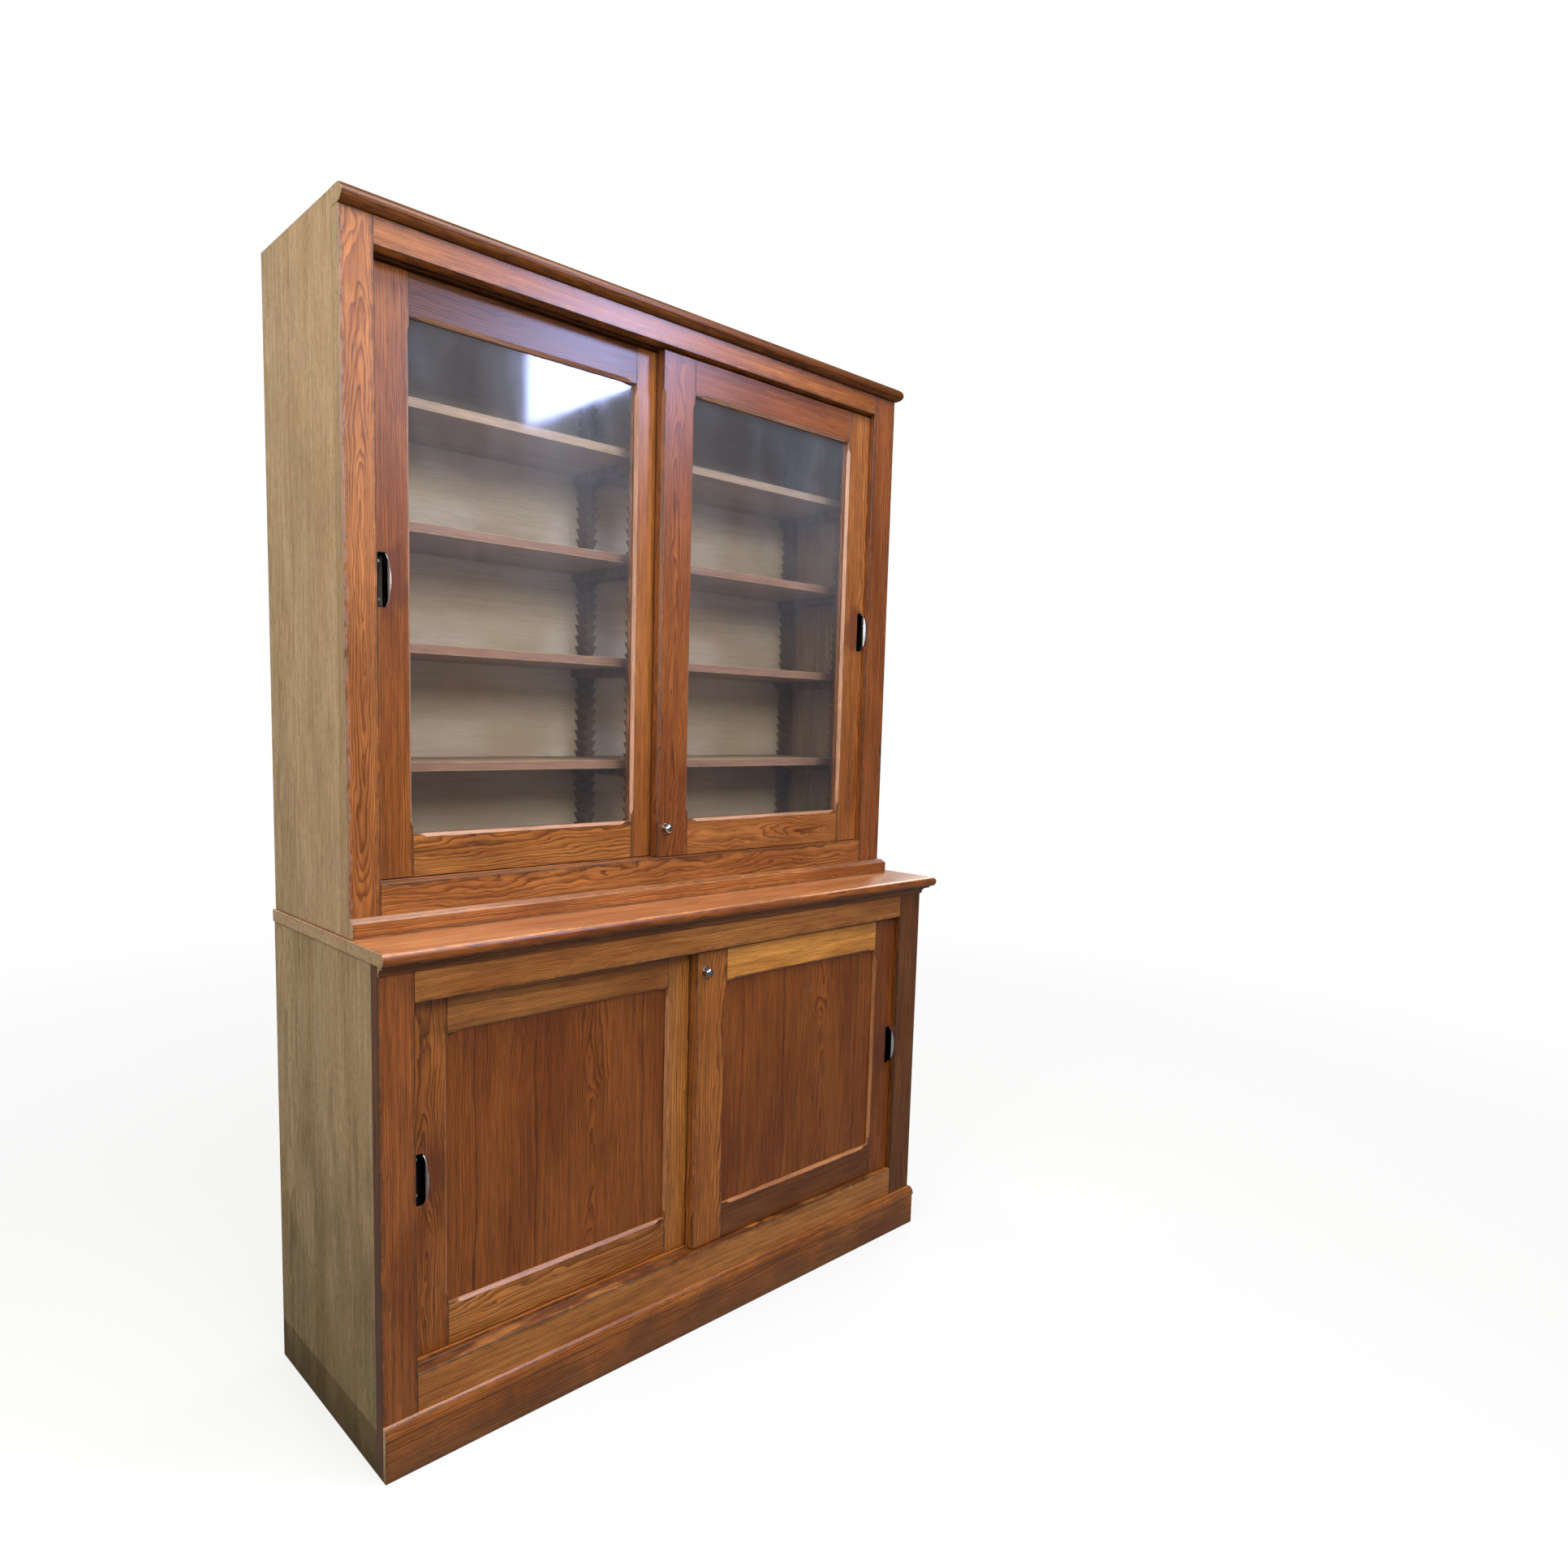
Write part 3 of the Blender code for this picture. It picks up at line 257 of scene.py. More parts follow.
# Each lamp: where it stands, the point that it faces, its width and height, and its tint.
LAMPS = {
    "ceiling": ((0.4, -1.7, 4.3), (-0.1, -0.1, 1.3), (2.4, 1.4), WARM),
    "front": ((-0.9, -2.9, 2.7), (-0.1, -0.1, 1.5), (1.5, 1.0), WARM),
    "left": ((-3.0, -0.6, 3.0), (-0.76, 0.05, 1.3), (1.8, 1.6), WARM),
    "glint": ((-2.7, -1.6, 1.9), (-0.3, -0.1, 1.4), (0.9, 1.2), WARM),
    "panel": ((1.6, -2.7, 3.16), (0.0, -2.7, 3.16), (1.0, 0.5), COOL),
    "right": ((3.0, 0.7, 2.4), (0.76, 0.0, 1.2), (1.6, 1.4), WARM),
    "rear": ((-0.6, 3.2, 2.8), (0.0, 0.3, 1.1), (1.6, 1.5), WARM),
}

# The camera's place, its turns in radians, and its sensor and shift.
CAMERA_PLACE = (-1.4686, -1.8271, 1.3382)
CAMERA_PAN, CAMERA_DIP, CAMERA_ROLL = -0.7332, 0.1039, 0.0215
CAMERA_SENSOR, CAMERA_SHIFT, CAMERA_NEAR = 36.0, (0.0488, 0.0292), 0.05


def number(name, description, default, **settings):
    return FloatProperty(name=name, description=description, default=default, **settings)


def distance(name, description, default):
    return number(name, description, default, min=0.0, unit="LENGTH")


def colour(name, description, default):
    return FloatVectorProperty(name=name, description=description, default=default, subtype="COLOR",
                               size=3, min=0.0, max=1.0)


def power(name, description, default):
    return number(name, description, default, unit="POWER")


class CabinetSizes(bpy.types.PropertyGroup):
    """Small sizes that the CAD model leaves to the looks."""

    board_arris: distance("Board arris", "Width of the eased edge on carcass boards", 0.0012)
    door_arris: distance("Door arris", "Width of the eased edge on door stiles and rails", 0.0006)
    shelf_arris: distance("Shelf arris", "Width of the eased edge on shelves and ladders", 0.0006)
    pull_width: distance("Pull width", "Width of the box of a pull", 0.016)
    pull_corner: distance("Pull corner", "Radius of the corners of the box of a pull", 0.003)
    pull_wall: distance("Pull wall", "Thickness of the wall of the box of a pull", 0.0012)
    fin_thickness: distance("Fin thickness", "Thickness of the half-moon fin of a pull", 0.002)
    fin_flare: distance("Fin flare", "How far the rim of the fin flares to the right", 0.005)
    screw_radius: distance("Screw radius", "Radius of the heads of the screws in a pull", 0.003)
    knob_length: distance("Knob length", "Length of the head of a push lock", 0.009)
    bolt_radius: distance("Bolt radius", "Radius of the bolt of a push lock", 0.005)


class CabinetColours(bpy.types.PropertyGroup):
    """Pale early wood and dark late wood of each stain, and the other colours."""

    # This colour darkens pores, joints and the foot of the cabinet; in the band along the joints it is also painted
    # shade between parts.
    grime: colour("Grime", "Dirt in joints and along the floor", (0.045, 0.026, 0.013))
    worn: colour("Worn arris", "Bare wood where an edge is rubbed through", (0.62, 0.430, 0.250))
    chip: colour("Chips", "Chipped edge of the upper left stile", (0.36, 0.235, 0.185))
    chrome: colour("Chrome", "Plating of the pulls and locks", (0.66, 0.65, 0.64))
    # This colour clouds the plating as tarnish; inside the pull boxes and on the fins' inner sides it is tarnish and
    # painted shade.
    tarnish_and_shade: colour("Tarnish", "Blackened inside of the pulls", (0.030, 0.027, 0.025))
    hand: colour("Hand rub", "Wood that hands have rubbed dark", (0.115, 0.026, 0.010))
    glass: colour("Glass", "Tint of the panes", (0.965, 0.975, 0.955))
    film: colour("Film", "Tint of the panes where they are dirty", (0.91, 0.92, 0.90))
    clear: colour("Clear", "Tint of the lamplight through the panes", (0.94, 0.95, 0.93))
    # The dust is bluish: partly dust, partly a painted reflection of a bluish ceiling in the panes.
    dust_and_reflection: colour("Dust", "Dust on the panes", (0.70, 0.78, 0.96))


CabinetColours.__annotations__.update({
    f"{stain}_{tone}": colour(f"{stain.title()}, {tone}", f"{season} wood of the {boards}", shade)
    for stain, (boards, *shades) in STAINS.items()
    for tone, season, shade in zip(("pale", "dark"), ("Early", "Late"), shades)})


class CabinetStage(bpy.types.PropertyGroup):
    """The floor, the lights and the camera."""

    floor_colour: colour("Floor", "Colour of the pale floor", (0.90, 0.90, 0.89))
    floor_radius: distance("Floor radius", "Radius of the round floor", 14.0)
    floor_shine: number("Floor shine", "Strength of the floor in reflections", 0.12)
    floor_bounce: colour("Floor bounce", "Colour of the floor where it throws light back", (0.35, 0.35, 0.35))
    room_light: number("Room light", "Strength of the even light", 0.22)
    room_tint: colour("Room tint", "Colour of the room in reflections", (0.72, 0.82, 1.0))
    room_shine: number("Room shine", "Strength of the room in reflections", 0.10)
    ceiling_power: power("Ceiling light", "Power of the light above the front", 89.0)
    front_power: power("Front light", "Power of the light beside the camera", 44.0)
    left_power: power("Left light", "Power of the light on the left", 62.0)
    glint_power: power("Glint light", "Power of the light that the fins mirror", 9.0)
    panel_power: power("Panel light", "Power of the panel that shines in glass and varnish", 66.0)
    right_power: power("Right light", "Power of the light on the right side", 30.0)
    rear_power: power("Rear light", "Power of the light behind the cabinet", 35.0)
    lens: number("Lens", "Focal length of the camera", 23.48, unit="CAMERA")


def place(tree, kind, inputs=None, **settings):
    """A new node. Each input is set to a value, or linked where another node's socket is given."""
    made = tree.nodes.new(kind)
    for key, value in settings.items():
        setattr(made, key, value)
    for key, value in (inputs or {}).items():
        if isinstance(value, bpy.types.NodeSocket):
            tree.links.new(value, made.inputs[key])
        else:
            made.inputs[key].default_value = value
    return made


def maths(tree, operation, *values):
    return place(tree, "ShaderNodeMath", dict(enumerate(values)), operation=operation).outputs[0]


def vectors(tree, operation, *values):
    return place(tree, "ShaderNodeVectorMath", dict(enumerate(values)), operation=operation).outputs[0]


def blend(tree, share, first, second, how="MIX"):
    inputs = {0: share, 6: first, 7: second}
    return place(tree, "ShaderNodeMix", inputs, data_type="RGBA", blend_type=how).outputs[2]


def tinted(tree, share, wood, tint):
    """Wood that is multiplied by a tint where the share is high."""
    return blend(tree, share, wood, blend(tree, 1.0, wood, tint, "MULTIPLY"))


def spread(tree, value, low, high, to_low=0.0, to_high=1.0):
    inputs = {"Value": value, "From Min": low, "From Max": high, "To Min": to_low, "To Max": to_high}
    return place(tree, "ShaderNodeMapRange", inputs, interpolation_type="SMOOTHSTEP").outputs["Result"]


def covered(tree, mask, share, under, over):
    """A colour under another one, which shows by a share of the mask."""
    return blend(tree, maths(tree, "MULTIPLY", mask, share), under, rgba(over))


def parts(tree, vector):
    return place(tree, "ShaderNodeSeparateXYZ", {0: vector}).outputs


def thrice(tree, value):
    """A vector or a grey with the value in all three places."""
    return place(tree, "ShaderNodeCombineXYZ", {0: value, 1: value, 2: value}).outputs[0]


def vector_length(tree, vector):
    return place(tree, "ShaderNodeVectorMath", {0: vector}, operation="LENGTH").outputs["Value"]


def noise(tree, at, kind, output="Fac"):
    stretch, detail, roughness = NOISES[kind]
    inputs = {"Vector": vectors(tree, "MULTIPLY", at, stretch), "Scale": 1.0, "Detail": detail,
              "Roughness": roughness}
    return place(tree, "ShaderNodeTexNoise", inputs).outputs[output]


def bump(tree, shader, height, strength, distance):
    made = place(tree, "ShaderNodeBump", {"Height": height, "Strength": strength, "Distance": distance})
    tree.links.new(made.outputs[0], shader.inputs["Normal"])


def mixed(tree, share, first, second):
    return place(tree, "ShaderNodeMixShader", {0: share, 1: first, 2: second}).outputs[0]


def surface(tree, shader):
    out = next(n for n in tree.nodes if n.type == "OUTPUT_MATERIAL")
    tree.links.new(shader, out.inputs["Surface"])


def by_ray(tree, lit, mirrored, seen):
    """One shader for the light that is thrown back, one for mirror images and one for the camera."""
    ray = tree.nodes.new("ShaderNodeLightPath").outputs
    return mixed(tree, ray["Is Camera Ray"], mixed(tree, ray["Is Glossy Ray"], lit, mirrored), seen)


def new_group(name, vector_inputs, value_inputs, outputs):
    """An empty node group, whose outputs are all values."""
    tree = bpy.data.node_groups.new(name, "ShaderNodeTree")
    for labels, way, kind in ((vector_inputs, "INPUT", "Vector"), (value_inputs, "INPUT", "Float"),
                              (outputs, "OUTPUT", "Float")):
        for label in labels:
            tree.interface.new_socket(label, in_out=way, socket_type="NodeSocket" + kind)
    return tree, tree.nodes.new("NodeGroupInput").outputs, tree.nodes.new("NodeGroupOutput").inputs


def pine_figure():
    """Growth rings about the heart of the log, cut by the board, with the fine fibre between them."""
    tree, given, result = new_group(
        "Pine figure", ("Vector", "Shift"), ("Spacing", "Depth", "Side", "Lean", "Waver"),
        ("Late Wood", "Fibre", "Height"))
    moved = vectors(tree, "ADD", given["Vector"], given["Shift"])
    slow = noise(tree, moved, "sway", "Color")
    sway = vectors(tree, "SUBTRACT", slow, (0.5, 0.5, 0.5))
    reach = thrice(tree, maths(tree, "MULTIPLY", given["Waver"], 2.6))
    bent = vectors(tree, "ADD", given["Vector"], vectors(tree, "MULTIPLY", sway, reach))
    split = parts(tree, bent)
    across = maths(tree, "SUBTRACT", split[1], given["Side"])
    along = parts(tree, given["Vector"])[0]
    deep = maths(tree, "ADD", split[2], given["Depth"])
    deep = maths(tree, "MULTIPLY_ADD", along, given["Lean"], deep)
    radius = maths(tree, "SQRT", maths(tree, "MULTIPLY_ADD", across, across, maths(tree, "MULTIPLY", deep, deep)))
    ring = maths(tree, "DIVIDE", radius, given["Spacing"])
    ripple = noise(tree, moved, "ripple")
    ring = maths(tree, "MULTIPLY_ADD", ripple, 1.3, ring)
    years = place(tree, "ShaderNodeTexNoise", {"W": ring, "Scale": 0.37, "Detail": 1.0},
                  noise_dimensions="1D").outputs["Fac"]
    ring = maths(tree, "MULTIPLY_ADD", years, 1.9, ring)
    season = place(tree, "ShaderNodeValToRGB", {"Fac": maths(tree, "FRACT", ring)})
    # Through a year: pale early wood, then late wood that darkens and ends sharply.
    ramp = season.color_ramp.elements
    ramp[0].position, ramp[0].color = 0.0, (0.10, 0.10, 0.10, 1.0)
    ramp[1].position, ramp[1].color = 1.0, (0.10, 0.10, 0.10, 1.0)
    for position, value in ((0.08, 0.0), (0.45, 0.16), (0.76, 0.80), (0.90, 1.0)):
        ramp.new(position).color = (value, value, value, 1.0)
    strong = maths(tree, "MULTIPLY_ADD", years, 0.9, 0.45)
    late = maths(tree, "MULTIPLY", season.outputs["Color"], strong)
    fine = noise(tree, moved, "fine")
    streak = noise(tree, moved, "streak")
    fibre = maths(tree, "MULTIPLY_ADD", fine, 0.45, maths(tree, "MULTIPLY", streak, 0.55))
    tree.links.new(late, result["Late Wood"])
    tree.links.new(fibre, result["Fibre"])
    tree.links.new(maths(tree, "MULTIPLY_ADD", late, 0.45, fibre), result["Height"])
    return tree


def varnish_age():
    """Old varnish: soft patches where it lies thick, pale scuffs, and dark specks in the pores."""
    tree, given, result = new_group("Varnish age", ("Vector",), (), ("Patches", "Scuffs", "Specks"))
    patches = noise(tree, given["Vector"], "patches")
    tree.links.new(spread(tree, patches, 0.36, 0.70), result["Patches"])
    rub = noise(tree, given["Vector"], "rub")
    scratch = noise(tree, given["Vector"], "scratch")
    scuffs = maths(tree, "MULTIPLY", spread(tree, rub, 0.56, 0.72), spread(tree, scratch, 0.54, 0.70))
    tree.links.new(scuffs, result["Scuffs"])
    pores = noise(tree, given["Vector"], "pores")
    tree.links.new(spread(tree, pores, 0.55, 0.70), result["Specks"])
    return tree


def board_edges():
    """How near a point of a board lies to one of its arrises, from the three distances to its faces."""
    tree, given, result = new_group("Board edges", ("Vector", "Half Size"), ("Reach",), ("Edge",))
    inside = vectors(tree, "SUBTRACT", given["Half Size"], vectors(tree, "ABSOLUTE", given["Vector"]))
    x, y, z = parts(tree, inside)
    middle = maths(tree, "MINIMUM", maths(tree, "MAXIMUM", x, y), z)
    middle = maths(tree, "MAXIMUM", maths(tree, "MINIMUM", x, y), middle)
    broken = noise(tree, given["Vector"], "broken")
    reach = maths(tree, "MULTIPLY", given["Reach"], spread(tree, broken, 0.30, 0.72, 0.15, 1.7))
    near = maths(tree, "SUBTRACT", 1.0, maths(tree, "DIVIDE", middle, reach))
    tree.links.new(spread(tree, near, 0.0, 1.0), result["Edge"])
    return tree


def rising_grime_and_shade():
    """Dirt that climbs from the floor to a ragged height. Given a greater height, it darkens the bare base side
    towards the bottom as painted shade.
    """
    tree, given, result = new_group("Floor grime", ("Vector",), ("Height",), ("Grime",))
    z = parts(tree, given["Vector"])[2]
    ragged = noise(tree, given["Vector"], "dirt")
    climb = maths(tree, "DIVIDE", z, given["Height"])
    level = maths(tree, "SUBTRACT", spread(tree, ragged, 0.25, 0.75, 0.55, 1.35), climb)
    tree.links.new(spread(tree, level, 0.0, 0.75), result["Grime"])
    return tree


def hand_mark():
    """A darker place where hands have rubbed round a point."""
    tree, given, result = new_group("Hand mark", ("Vector", "Centre"), ("Radius",), ("Mark",))
    away = vectors(tree, "SUBTRACT", given["Vector"], given["Centre"])
    away = vector_length(tree, vectors(tree, "MULTIPLY", away, (1.0, 0.3, 0.6)))
    ragged = noise(tree, given["Vector"], "hands")
    away = maths(tree, "DIVIDE", away, given["Radius"])
    close = maths(tree, "SUBTRACT", spread(tree, ragged, 0.2, 0.8, 0.7, 1.4), away)
    tree.links.new(spread(tree, close, 0.0, 0.6), result["Mark"])
    return tree


def bare_wood():
    """Flecks and greyed strips of wood that was never varnished."""
    tree, given, result = new_group("Bare wood", ("Vector",), (), ("Flecks", "Strips"))
    tree.links.new(spread(tree, noise(tree, given["Vector"], "fleck"), 0.42, 0.64), result["Flecks"])
    tree.links.new(spread(tree, noise(tree, given["Vector"], "strip"), 0.42, 0.60), result["Strips"])
    return tree


def metal_age():
    """Fine scratches and dull clouds on plated metal."""
    tree, given, result = new_group("Metal age", ("Vector",), (), ("Scratches", "Clouds"))
    lines = noise(tree, given["Vector"], "lines")
    tree.links.new(spread(tree, lines, 0.45, 0.75), result["Scratches"])
    clouds = noise(tree, given["Vector"], "clouds")
    tree.links.new(spread(tree, clouds, 0.42, 0.70), result["Clouds"])
    return tree


GROUP_MAKERS = {"figure": pine_figure, "age": varnish_age, "edges": board_edges, "grime": rising_grime_and_shade,
                "hand": hand_mark, "bare": bare_wood, "metal": metal_age}
GROUPS = {}


def use_group(tree, name, **inputs):
    """Places a node group, which is made at its first use."""
    if name not in GROUPS:
        GROUPS[name] = GROUP_MAKERS[name]()
    labelled = {key.replace("_", " ").title(): value for key, value in inputs.items()}
    return place(tree, "ShaderNodeGroup", labelled, node_tree=GROUPS[name]).outputs


def new_material(name):
    """A material with its Object coordinates and its Principled node."""
    made = bpy.data.materials.new(name)
    made.use_nodes = True
    tree = made.node_tree
    shader = next(n for n in tree.nodes if n.type == "BSDF_PRINCIPLED")
    where = tree.nodes.new("ShaderNodeTexCoord").outputs["Object"]
    return made, tree, shader, where


def rgba(name):
    return (*getattr(bpy.context.scene.cabinet_colours, name), 1.0)


def wear_of(name, stain):
    """How a finish wears, by its stain and by the board that it is named for."""
    if stain in LIPPINGS:
        return DULL_WOOD._replace(scuffs=0.60, arris=0.65, arris_reach=0.0030)
    if stain == "back":
        return DULL_WOOD._replace(shade=(0.95, 1.04))
    if stain in DULL:
        return DULL_WOOD
    if stain in RUBBED_AND_HIGHLIGHTED:
        return FREE_VARNISH._replace(joint=0.0)
    if name.startswith(DUSTY):
        return FREE_VARNISH._replace(coat=0.2)
    return FREE_VARNISH if name.rsplit("_", 1)[0] in FREE_EDGES else VARNISH


def bare_tints(tree, wood, stain, moved, where):
    """Flecks and strips of bare wood, and on the base painted shade that deepens towards the bottom and the dark band
    at its foot.
    """
    bare = use_group(tree, "bare", vector=moved)
    wood = tinted(tree, bare["Flecks"], wood, TINTS["fleck"])
    wood = tinted(tree, bare["Strips"], wood, TINTS["strip"])
    if stain == "shaded_bare":
        # Painted shade: the bare base side darkens towards the bottom.
        rise = use_group(tree, "grime", vector=where, height=SHADE_HEIGHT)["Grime"]
        wood = tinted(tree, rise, wood, TINTS["shaded_bare"])
        wood = tinted(tree, spread(tree, parts(tree, where)[2], *FOOT_BAND), wood, TINTS["foot"])
    return wood


def chipped_edge(tree, wood, moved, inward):
    """Wood with a ragged row of chips along the edge that inward is measured from."""
    ragged = spread(tree, noise(tree, moved, "chips"), 0.30, 0.70, 0.002, 0.012)
    chips = spread(tree, maths(tree, "SUBTRACT", ragged, inward), 0.0, 0.004, 0.0, CHIP_SHARE)
    return blend(tree, chips, wood, rgba("chip"))


def pine(name, box, lie, cut, stain, seed, mark=None):
    """The finish of one board: its own cut of the log, its stain, its wear, and painted shade along its edges. A mark
    is where hands rub it.
    """
    made, tree, shader, where = new_material(name)
    low, high = box
    turn = LIES[lie]
    half = [abs(v) / 2 for v in turn.transposed() @ (high - low)]
    inputs = {"Vector": where, "Location": (low + high) / 2, "Rotation": turn.to_euler()}
    board = place(tree, "ShaderNodeMapping", inputs, vector_type="TEXTURE").outputs[0]
    shift = (seed * 1.37, seed * 0.71, seed * 2.13)
    moved = vectors(tree, "ADD", board, shift)
    wear = wear_of(name, stain)
    spacing, depth, side, lean, waver = CUTS[cut]
    figure = use_group(tree, "figure", vector=board, shift=shift, spacing=spacing, depth=depth, side=side,
                       lean=lean if seed % 2 else -lean, waver=waver)
    age = use_group(tree, "age", vector=moved)
    joint = use_group(tree, "edges", vector=board, half_size=half, reach=wear.joint_reach)["Edge"]
    arris = use_group(tree, "edges", vector=board, half_size=half, reach=wear.arris_reach)["Edge"]
    grime = use_group(tree, "grime", vector=where, height=GRIME_HEIGHT)["Grime"]

    wood = blend(tree, figure["Late Wood"], rgba(stain + "_pale"), rgba(stain + "_dark"))
    shade = spread(tree, figure["Fibre"], 0.32, 0.68, *wear.shade)
    wood = blend(tree, 1.0, wood, thrice(tree, shade), "MULTIPLY")
    if stain in BARE:
        wood = bare_tints(tree, wood, stain, moved, where)
    wood = tinted(tree, age["Patches"], wood, wear.thick)
    wood = covered(tree, age["Specks"], wear.specks, wood, "grime")
    wood = covered(tree, age["Scuffs"], wear.scuffs, wood, "worn")
    # A dark band along every edge: partly dirt in the joints, partly painted shade between parts.
    wood = covered(tree, joint, wear.joint, wood, "grime")
    wood = covered(tree, arris, wear.arris, wood, wear.arris_colour)
    wood = covered(tree, grime, GRIME_SHARE, wood, "grime")
    if name == CHIPPED + "_finish":
        wood = chipped_edge(tree, wood, moved, maths(tree, "SUBTRACT", parts(tree, where)[0], low.x))
    if mark is not None:
        rubbed = use_group(tree, "hand", vector=where, centre=mark, radius=HAND_RADIUS)["Mark"]
        wood = covered(tree, rubbed, HAND_SHARE, wood, "hand")
    tree.links.new(wood, shader.inputs["Base Color"])

    rough = spread(tree, figure["Fibre"], 0.25, 0.75, *wear.rough)
    rough = maths(tree, "MULTIPLY_ADD", age["Scuffs"], 0.18, rough)
    rough = maths(tree, "MULTIPLY_ADD", grime, 0.25, rough)
    tree.links.new(rough, shader.inputs["Roughness"])
    bump(tree, shader, figure["Height"], wear.bump, 0.0006)
    shader.inputs["Specular IOR Level"].default_value = wear.specular
    shader.inputs["Coat Weight"].default_value = wear.coat
    shader.inputs["Coat Roughness"].default_value = COAT_ROUGHNESS
    return made


def metal(name, base, rough, dulled_and_shaded, metallic=1.0):
    """Plated metal with fine scratches and dull clouds. A low metallic share stands for a plating worn dull."""
    made, tree, shader, where = new_material(name)
    age = use_group(tree, "metal", vector=where)
    tree.links.new(covered(tree, age["Clouds"], dulled_and_shaded, rgba(base), "tarnish_and_shade"), shader.inputs["Base Color"])
    low, high = rough
    dull = maths(tree, "MULTIPLY_ADD", age["Clouds"], high - low, low)
    dull = maths(tree, "MULTIPLY_ADD", age["Scratches"], 0.06, dull)
    tree.links.new(dull, shader.inputs["Roughness"])
    bump(tree, shader, age["Scratches"], 0.02, 0.0001)
    shader.inputs["Metallic"].default_value = metallic
    return made


def pane_glass(name):
    """Clear old glass under a thin film of dust. The film's bluish diffuse share, stronger towards the top, is also a
    painted reflection of a bluish ceiling. Lamps shine through it.
    """
    made, tree, shader, where = new_material(name)
    film = noise(tree, where, "film")
    wiped = spread(tree, noise(tree, where, "wiped"), 0.4, 0.75)
    tree.links.new(maths(tree, "MULTIPLY_ADD", wiped, 0.03, 0.05), shader.inputs["Roughness"])
    tint = blend(tree, spread(tree, film, 0.35, 0.75), rgba("glass"), rgba("film"))
    tree.links.new(tint, shader.inputs["Base Color"])
    bump(tree, shader, noise(tree, where, "wave"), 0.06, 0.002)
    shader.inputs["Transmission Weight"].default_value = 1.0
    shader.inputs["IOR"].default_value = 1.5
    clear = place(tree, "ShaderNodeBsdfTransparent", {"Color": rgba("clear")}).outputs[0]
    dust_and_reflection = place(tree, "ShaderNodeBsdfDiffuse", {"Color": rgba("dust_and_reflection")}).outputs[0]
    # Dust and painted reflection: a bluish diffuse share that grows towards the top of the panes.
    cover = maths(tree, "MULTIPLY_ADD", spread(tree, film, 0.30, 0.75), 0.017, 0.009)
    rise_of_dust_and_reflection = spread(tree, parts(tree, where)[2], 1.3, 2.0, 0.5, 2.6)
    glass_with_dust_and_reflection = mixed(tree, maths(tree, "MULTIPLY", cover, rise_of_dust_and_reflection), shader.outputs[0], dust_and_reflection)
    light = tree.nodes.new("ShaderNodeLightPath").outputs
    through = maths(tree, "MAXIMUM", light["Is Shadow Ray"], light["Is Diffuse Ray"])
    surface(tree, mixed(tree, through, glass_with_dust_and_reflection, clear))
    return made


def leave_edit():
    bpy.ops.object.mode_set(mode="OBJECT")


def select_mesh():
    bpy.ops.mesh.select_all(action="SELECT")


def settle():
    """Puts the place, turn and scale of the selected piece into its mesh."""
    bpy.ops.object.transform_apply(location=True, rotation=True, scale=True)


def start_clean():
    """Object mode with nothing selected."""
    if bpy.context.object and bpy.context.object.mode != "OBJECT":
        leave_edit()
    bpy.ops.object.select_all(action="DESELECT")


def work_on(piece):
    start_clean()
    piece.select_set(True)
    bpy.context.view_layer.objects.active = piece


def edit(piece):
    work_on(piece)
    bpy.ops.object.mode_set(mode="EDIT")


def pick(piece, kind, test):
    """Selects the faces or edges of a piece in edit mode that pass a test on their middle and their direction."""
    bpy.ops.mesh.select_mode(type=kind)
    bpy.ops.mesh.select_all(action="DESELECT")
    mesh = bmesh.from_edit_mesh(piece.data)
    found = 0
    for item in mesh.faces if kind == "FACE" else mesh.edges:
        if kind == "FACE":
            chosen = test(item.calc_center_median(), item.normal)
        else:
            ends = [v.co for v in item.verts]
            chosen = test((ends[0] + ends[1]) / 2, (ends[1] - ends[0]).normalized())
        item.select_set(chosen)
        found += chosen
    mesh.select_flush_mode()
    bmesh.update_edit_mesh(piece.data)
    if not found:
        raise RuntimeError(f"nothing to select on {piece.name}")


def apply_modifier(piece, kind, **settings):
    work_on(piece)
    bpy.ops.object.modifier_add(type=kind)
    modifier = piece.modifiers[-1]
    for key, value in settings.items():
        setattr(modifier, key, value)
    bpy.ops.object.modifier_apply(modifier=modifier.name)


def bevel(piece, width, segments, degrees, clamp=True):
    """Bevels the edges that are sharper than an angle."""
    apply_modifier(piece, "BEVEL", width=width, segments=segments, limit_method="ANGLE",
                   angle_limit=math.radians(degrees), use_clamp_overlap=clamp)


def eased(node, name, width, clamp=True):
    """A merged copy of a CAD node's mesh with its sharp edges eased."""
    start_clean()
    piece = bpy.data.objects.new(name, frame["nodes"][node].data.copy())
    bpy.context.collection.objects.link(piece)
    edit(piece)
    select_mesh()
    bpy.ops.mesh.customdata_custom_splitnormals_clear()
    bpy.ops.mesh.remove_doubles(threshold=1e-6)
    bpy.ops.mesh.dissolve_limited(angle_limit=math.radians(0.5))
    leave_edit()
    bevel(piece, width, 2, 35, clamp)
    bpy.ops.object.shade_smooth_by_angle(angle=math.radians(50))
    apply_modifier(piece, "WEIGHTED_NORMAL", weight=80, keep_sharp=True)
    return piece


def fit_out(piece, node, materials=None):
    """Ties a piece to the CAD node that it stands for, and gives it its materials if it has none of its own."""
    if materials:
        piece.data.materials.clear()
        for material in materials:
            piece.data.materials.append(material)
    solid = frame["nodes"][node]
    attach(piece, solid["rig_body"])
    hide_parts(node)


def paint(piece, index, test):
    """Gives the faces that pass a test another of the piece's materials."""
    edit(piece)
    pick(piece, "FACE", test)
    piece.active_material_index = index
    bpy.ops.object.material_slot_assign()
    leave_edit()


